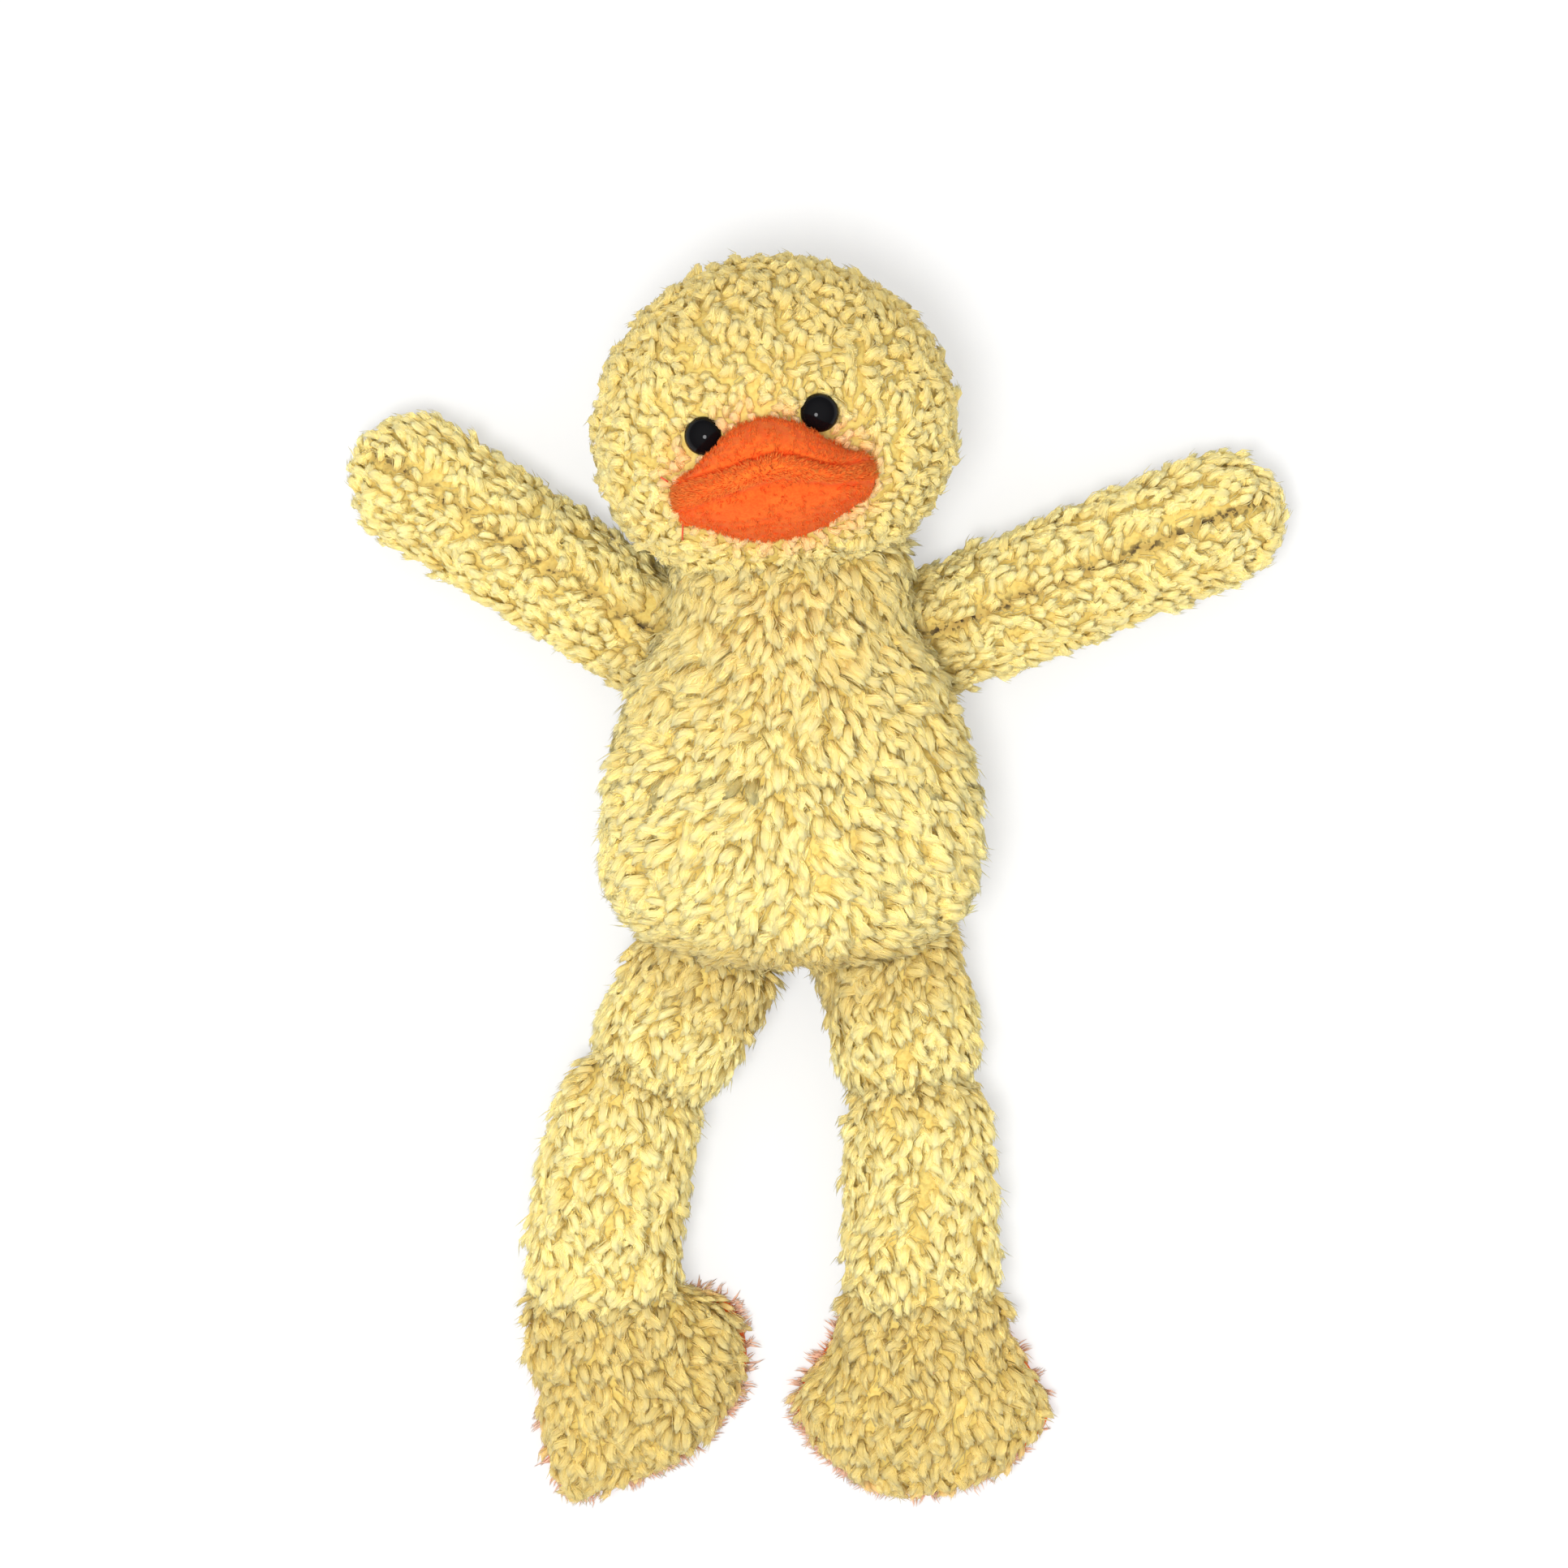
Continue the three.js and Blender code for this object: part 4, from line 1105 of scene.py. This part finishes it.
# %% Bill form
BILL_DROP, BILL_TILT = 15.5, -5.0
BILL_X = (-23.5, -21.0, -17.0, -12.0, -7.0, -1.0, 4.5, 9.5, 14.0, 18.0, 21.0, 23.0)
BILL_TOP = (2.4, 3.0, 4.8, 9.6, 13.2, 14.8, 13.9, 11.6, 8.0, 5.2, 4.8, 4.2)
LIP_TOP = (1.7, 2.0, 2.3, 2.8, 3.5, 5.0, 5.3, 3.6, 1.7, 1.6, 2.8, 2.7)
LIP_LOW = (-4.4, -4.6, -4.2, -3.2, -2.5, -1.2, -0.9, -1.8, -2.7, -2.6, -2.4, -2.2)
BILL_LOW = (-6.8, -7.6, -8.2, -10.8, -12.4, -12.9, -12.6, -11.2, -9.0, -6.8, -5.2, -3.8)
BILL_REACH = 17.3
BILL_COLUMNS, BILL_ROWS = 64, 56


def face_depth(x, y):
    inside = 1 - (x / HEAD_HALF[0]) ** 2 - (y / HEAD_HALF[1]) ** 2
    return HEAD_HALF[2] * np.sqrt(np.maximum(inside, 0.0))


def smooth_through(x, stations, values):
    """A curve through values at stations, softened so that no corner shows at a station."""
    wide = np.linspace(-1.5, 1.5, 7)
    return np.mean([np.interp(x + w, stations, values) for w in wide], axis=0)


def section_through(points, count):
    """Points evenly along a smooth curve through a short row of points."""
    points = np.vstack([points[0] * 2 - points[1], points, points[-1] * 2 - points[-2]])
    curve = []
    for a, b, c, d in zip(points, points[1:], points[2:], points[3:]):
        for t in np.linspace(0, 1, 10, endpoint=False):
            curve.append(curve_point(a, b, c, d, t))
    curve = np.array([*curve, points[-2]])
    lengths = np.concatenate([[0], np.cumsum(np.linalg.norm(np.diff(curve, axis=0), axis=1))])
    wanted = np.linspace(0, lengths[-1], count)
    return np.stack([np.interp(wanted, lengths, curve[:, k]) for k in range(2)], axis=1)


bill_turn = face_turn @ about_z(BILL_TILT)
bill_middle = HEAD_MIDDLE + face_turn @ np.array([0.0, -BILL_DROP, face_depth(0.0, BILL_DROP)])


def bill_skin():
    columns = []
    shares = np.sin(np.linspace(-math.pi / 2, math.pi / 2, BILL_COLUMNS)) * 0.995
    middle, half = (BILL_X[0] + BILL_X[-1]) / 2, (BILL_X[-1] - BILL_X[0]) / 2
    for share in shares:
        x = middle + half * share
        closing = math.sqrt(max(1 - abs(share) ** 6, 0.0))
        top, lip_top, lip_low, low = (
            smooth_through(x, BILL_X, row) for row in (BILL_TOP, LIP_TOP, LIP_LOW, BILL_LOW)
        )
        reach = BILL_REACH * max(1 - abs(share) ** 2.4, 0.0) ** 0.5 + 4.2 * closing
        lip = (lip_top + lip_low) / 2
        corner = math.sqrt(max(1 - abs(share) ** 26, 0.0))
        top, lip_top, lip_low, low = (lip + (line - lip) * corner for line in (top, lip_top, lip_low, low))
        section = np.array([
            (top * 0.985, -4.0), (top, 0.0), (top * 0.86 + lip_top * 0.14, 0.36 * reach),
            (top * 0.56 + lip_top * 0.44, 0.7 * reach), (lip_top * 0.82 + top * 0.18, 0.88 * reach),
            (lip_top + 0.5, 0.88 * reach), (lip_top, 0.82 * reach),
            (lip_top - 0.5, 0.97 * reach), (lip * 0.6 + lip_top * 0.4, 1.1 * reach), (lip, 1.13 * reach),
            (lip * 0.5 + lip_low * 0.5, 1.08 * reach),
            (lip_low + 0.3, 0.95 * reach), (lip_low - 0.3, 0.85 * reach),
            (lip_low * 0.72 + low * 0.28, 0.88 * reach), (lip_low * 0.36 + low * 0.64, 0.78 * reach),
            (lip_low * 0.1 + low * 0.9, 0.45 * reach), (low, 0.0), (low * 0.985, -4.0),
        ])
        curve = section_through(section, BILL_ROWS)
        local_y = curve[:, 0] - BILL_DROP
        base = face_depth(x, local_y) - face_depth(0.0, BILL_DROP)
        columns.append(np.stack([np.full(BILL_ROWS, x), curve[:, 0], curve[:, 1] + base], axis=1))
    rings = [column @ bill_turn.T + bill_middle for column in columns]
    points, faces = closed_rings(rings)
    return mesh_object("bill_skin", points, faces)


bill = bill_skin()
local = (places_of(bill) / MM - bill_middle) @ bill_turn
lip_line = (smooth_through(local[:, 0], BILL_X, LIP_TOP) + smooth_through(local[:, 0], BILL_X, LIP_LOW)) / 2
over_lip = smoothed(local[:, 1] - lip_line, 2.5, 5.0)
under_lip = smoothed(local[:, 1] - lip_line, -2.0, -4.5)
fan = np.arctan2(local[:, 0] - 1.0, local[:, 1] - lip_line + 9.0)
upright_rows = 0.5 + 0.5 * np.sin(fan * 70.0 + 2.0 * np.sin(local[:, 1] * 0.8))
level_rows = 0.5 + 0.5 * np.sin(local[:, 1] * 4.4 + 0.6 * np.sin(local[:, 0] * 0.5))
on_lip = 1 - over_lip - under_lip
# The nap's stripes run upright over the lip and level under it; the lip itself is left at full level, a
# painted highlight.
rows = over_lip * upright_rows * 0.8 + under_lip * level_rows * 0.7 + on_lip
# Painted shade darkens the creases along both sides of the lip.
top_crease = np.abs(local[:, 1] - smooth_through(local[:, 0], BILL_X, LIP_TOP))
low_crease = np.abs(local[:, 1] - smooth_through(local[:, 0], BILL_X, LIP_LOW))
rows *= 1 - 0.9 * smoothed(np.minimum(top_crease, low_crease), 1.1, 0.3)
store(bill, "row", rows)
up_bill = bill_turn @ np.array([0.0, 1.0, 0.0])
across_bill = bill_turn @ np.array([1.0, 0.0, 0.0])
flow = np.outer(0.1 + over_lip - 1.0 * under_lip, up_bill) + np.outer(0.03 * local[:, 0], across_bill)
face_height = face_depth(local[:, 0], local[:, 1] - BILL_DROP) - face_depth(0.0, BILL_DROP)
above_face = smoothed(local[:, 2] - face_height, -1.0, 1.0)
comb(bill, flow, cover=above_face * (0.1 + 0.9 * rows), length=0.85 + 0.35 * on_lip)
bill_nap = planted("bill_nap", bill, nap, nap_finish, 41, swirl=1.0, chance=0.4, spacing=0.8)
dress(bill, velvet_finish)
for piece in (bill, bill_nap):
    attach(piece, "head")
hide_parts("bill_upper", "bill_lower")
print("bill of", len(bill.data.polygons), "faces")

# %% [markdown]
# The bill is sewn on by hand, and a few red ends of its thread stick out of the fleece round it. Each is a
# thin tube from a point on the seam outwards, laid on the face at the height of the pile.

# %% Thread ends
THREAD_RADIUS, THREAD_RISE = 0.2, 3.6
THREAD_ENDS = (
    ((-25.1, 66.8), (-25.3, 63.2)), ((-7.4, 64.6), (-6.2, 62.4)), ((-6.1, 64.4), (-4.5, 62.7)),
    ((14.6, 72.8), (13.9, 71.0)), ((-30.2, 77.4), (-28.4, 76.2)), ((15.0, 81.6), (16.9, 82.6)),
)

thread_finish, start, shader = finish_named("seam_thread", roughness=0.6)
twist = noise_on(start, 3000.0, 1.0)
wire(start.tree, shader.inputs["Base Color"], twist.mixed(linear(236, 64, 34), linear(250, 106, 66)))
face_places = places_of(head_skin) / MM
face_places = face_places[face_places[:, 2] > HEAD_MIDDLE[2]]
points, faces = [], []
for first, last in np.array(THREAD_ENDS):
    heading = (last - first) / np.linalg.norm(last - first)
    across = THREAD_RADIUS * np.array([-heading[1], heading[0], 0.0])
    rings = []
    for share in np.linspace(0, 1, 5):
        x, y = first + (last - first) * share
        nearest = np.argmin(np.linalg.norm(face_places[:, :2] - (x, y), axis=1))
        height = face_places[nearest, 2] + THREAD_RISE + 0.8 * math.sin(3.0 * share)
        rings.append(ellipse((x, y, height), across, (0, 0, THREAD_RADIUS), 6))
    thread, walls = closed_rings(rings, len(points))
    faces += walls
    points += thread
threads = mesh_object("bill_threads", points, faces)
threads.data.materials.append(thread_finish)
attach(threads, "head")
print(len(THREAD_ENDS), "thread ends")

# %% [markdown]
# Each eye is a black plastic safety eye. Its CAD button is right in size but cut into flat facets, so a
# smooth dome with a rolled edge is turned on the same axis and takes its place.

# %% Eyes
EYE_RADIUS, EYE_DOME, EYE_SINK, EYE_SPREAD, EYE_RISE = 4.5, 3.2, 1.7, 14.0, -2.0

eye_finish, start, shader = finish_named("eye_gloss", roughness=0.06, coat=0.12)
scuff = noise_on(start, 700.0, 3.0)
wire(start.tree, shader.inputs["Roughness"], scuff.between(0.55, 0.9) * 0.12 + 0.05)
shader.inputs["Base Color"].default_value = (0.004, 0.004, 0.005, 1.0)
shader.inputs["Specular IOR Level"].default_value = 0.05
shader.inputs["Coat Roughness"].default_value = 0.03


def eye_button(side):
    sign = 1 if side == "left" else -1
    x, y = sign * EYE_SPREAD, EYE_RISE
    middle = np.array([x, y, face_depth(x, y)])
    outwards = middle / HEAD_HALF**2
    outwards /= np.linalg.norm(outwards)
    facing = np.array(Vector((0, 0, 1)).rotation_difference(Vector(outwards)).to_matrix())
    rim = ((0.6, -3.0), (0.9, -0.2), (0.985, 0.0))
    profile = [(share * EYE_RADIUS, -EYE_SINK + rise) for share, rise in rim]
    for angle in np.linspace(0, 1.45, 14):
        profile.append((EYE_RADIUS * math.cos(angle), -EYE_SINK + 0.6 + (EYE_DOME + 0.4) * math.sin(angle)))
    rings = [ellipse((0, 0, z), (r, 0, 0), (0, r, 0), 48) for r, z in profile]
    rings = [(ring @ facing.T + middle) @ face_turn.T + HEAD_MIDDLE for ring in rings]
    made = mesh_object(f"{side}_eye_button", *closed_rings(rings))
    dress(made, eye_finish)
    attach(made, "head")
    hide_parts(f"{side}_eye")
    return made


eyes = [eye_button(side) for side in ("left", "right")]
print("eyes", [eye.name for eye in eyes])

# %% [markdown]
# The sole of each foot is a flat velvet pad under the fleece. Its cut edge frays into a pale orange fringe,
# which shows round the foot, mostly between the legs.

# %% Soles
SOLE_SECTION = ((6.0, 0.5), (3.2, 0.3), (2.0, 0.5), (1.4, 1.3), (1.6, 2.2), (2.4, 2.8), (5.0, 3.0))


def sole_pad(side):
    ankle = np.array([*ANKLE[side], 0.0])
    rings = []
    for inset, height in SOLE_SECTION:
        outline = footprint(side, inset, 96)
        rings.append(np.hstack([outline, np.full((len(outline), 1), height)]) + ankle)
    made = mesh_object(f"{side}_sole_pad", *closed_rings(rings))
    store(made, "row", np.full(len(made.data.vertices), 0.5))
    dress(made, velvet_finish)
    places = places_of(made) / MM - ankle - (0, -24, 0)
    outwards = places * (1, 1, 0)
    inner = smoothed(-places[:, 0] * (1 if side == "left" else -1), -2.0, 14.0)
    rim = smoothed(np.linalg.norm(normals_of(made)[:, :2], axis=1), 0.35, 0.8)
    comb(made, outwards + (0, 0, 0.1), cover=rim * (0.25 + 0.5 * inner), length=1.7)
    fringe = planted(
        f"{side}_sole_fringe", made, nap, fringe_finish, 51, swirl=1.5, chance=0.8, spacing=1.1, scale=1.5
    )
    for piece in (made, fringe):
        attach(piece, f"{side}_foot")
    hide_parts(f"{side}_foot_sole")
    return made


soles = [sole_pad(side) for side in ("left", "right")]
print("soles", [sole.name for sole in soles])

# %% [markdown]
# Inside, unseen unless a piece is opened, lie loose white fibre and the plastic washers that lock the eyes.

# %% Filling and washers
filling_finish, start, shader = finish_named("filling_fibre", roughness=1.0, sheen=0.2)
tangle = noise_on(start, 420.0, 5.0, 1.5)
tone = tangle.between(0.3, 0.7).mixed(linear(226, 224, 216), linear(250, 249, 245))
wire(start.tree, shader.inputs["Base Color"], tone)
roughen(start, shader, tangle, 0.8, 0.001)

washer_finish, start, shader = finish_named("washer_plastic", roughness=0.5)
grain = noise_on(start, 900.0, 2.0)
wire(start.tree, shader.inputs["Base Color"], grain.mixed(linear(226, 226, 220), linear(236, 236, 231)))
wire(start.tree, shader.inputs["Roughness"], grain * 0.15 + 0.42)

for name, node in nodes.items():
    for ending, finish in (("_filling", filling_finish), ("_washer", washer_finish)):
        if name.endswith(ending):
            node.data.materials.clear()
            node.data.materials.append(finish)
print("finished", sum(name.endswith(("_filling", "_washer")) for name in nodes), "inside parts")

# %% [markdown]
# A wide pale floor takes the soft shadow. Light comes from one lamp near the camera and from a surrounding
# that is brighter overhead. Where the camera sees the floor itself, half of what it sees is plain white.

# %% Floor and light
FLOOR_WHITE = linear(250, 250, 250)
FLOOR_GLOW = 0.5
SKY_TOP, SKY_LOW = 0.5, 0.36

floor = mesh_object("floor", [(-3, -3, 0), (3, -3, 0), (3, 3, 0), (-3, 3, 0)], [(0, 1, 2, 3)])
floor_finish, start, shader = finish_named("floor_paper", roughness=1.0)
shader.inputs["Base Color"].default_value = FLOOR_WHITE
shader.inputs["Specular IOR Level"].default_value = 0.0
glow = start.node("ShaderNodeEmission", {"Strength": 1.0})
seen = start.node("ShaderNodeLightPath", out="Is Camera Ray")
paper = Wire(start.tree, shader.outputs[0])
mixed = start.node("ShaderNodeMixShader", {0: seen * FLOOR_GLOW, 1: paper, 2: glow})
wire(start.tree, start.tree.nodes["Material Output"].inputs["Surface"], mixed)
floor.data.materials.append(floor_finish)

world = bpy.data.worlds.new("studio")
world.use_nodes = True
start = Wire(world.node_tree)
aim = start.node("ShaderNodeTexCoord", out="Generated")
height = start.node("ShaderNodeSeparateXYZ", {"Vector": aim}, out="Z")
background = world.node_tree.nodes["Background"]
background.inputs["Color"].default_value = (1.0, 1.0, 1.0, 1.0)
wire(world.node_tree, background.inputs["Strength"], height.between(0.1, 1.0) * SKY_TOP + SKY_LOW)
scene.world = world


def lamp(name, place, target, size, power):
    data = bpy.data.lights.new(name, "AREA")
    data.shape = "DISK"
    data.size = size
    data.energy = power
    made = bpy.data.objects.new(name, data)
    made.location = place
    made.rotation_euler = (Vector(target) - Vector(place)).to_track_quat("-Z", "Y").to_euler()
    scene.collection.objects.link(made)
    return made


lamp("overhead", (-0.2, -0.2, 1.5), (0, 0.02, 0.03), 0.45, 13.2)
scene.view_settings.view_transform = "Standard"
print("floor, sky and one lamp")
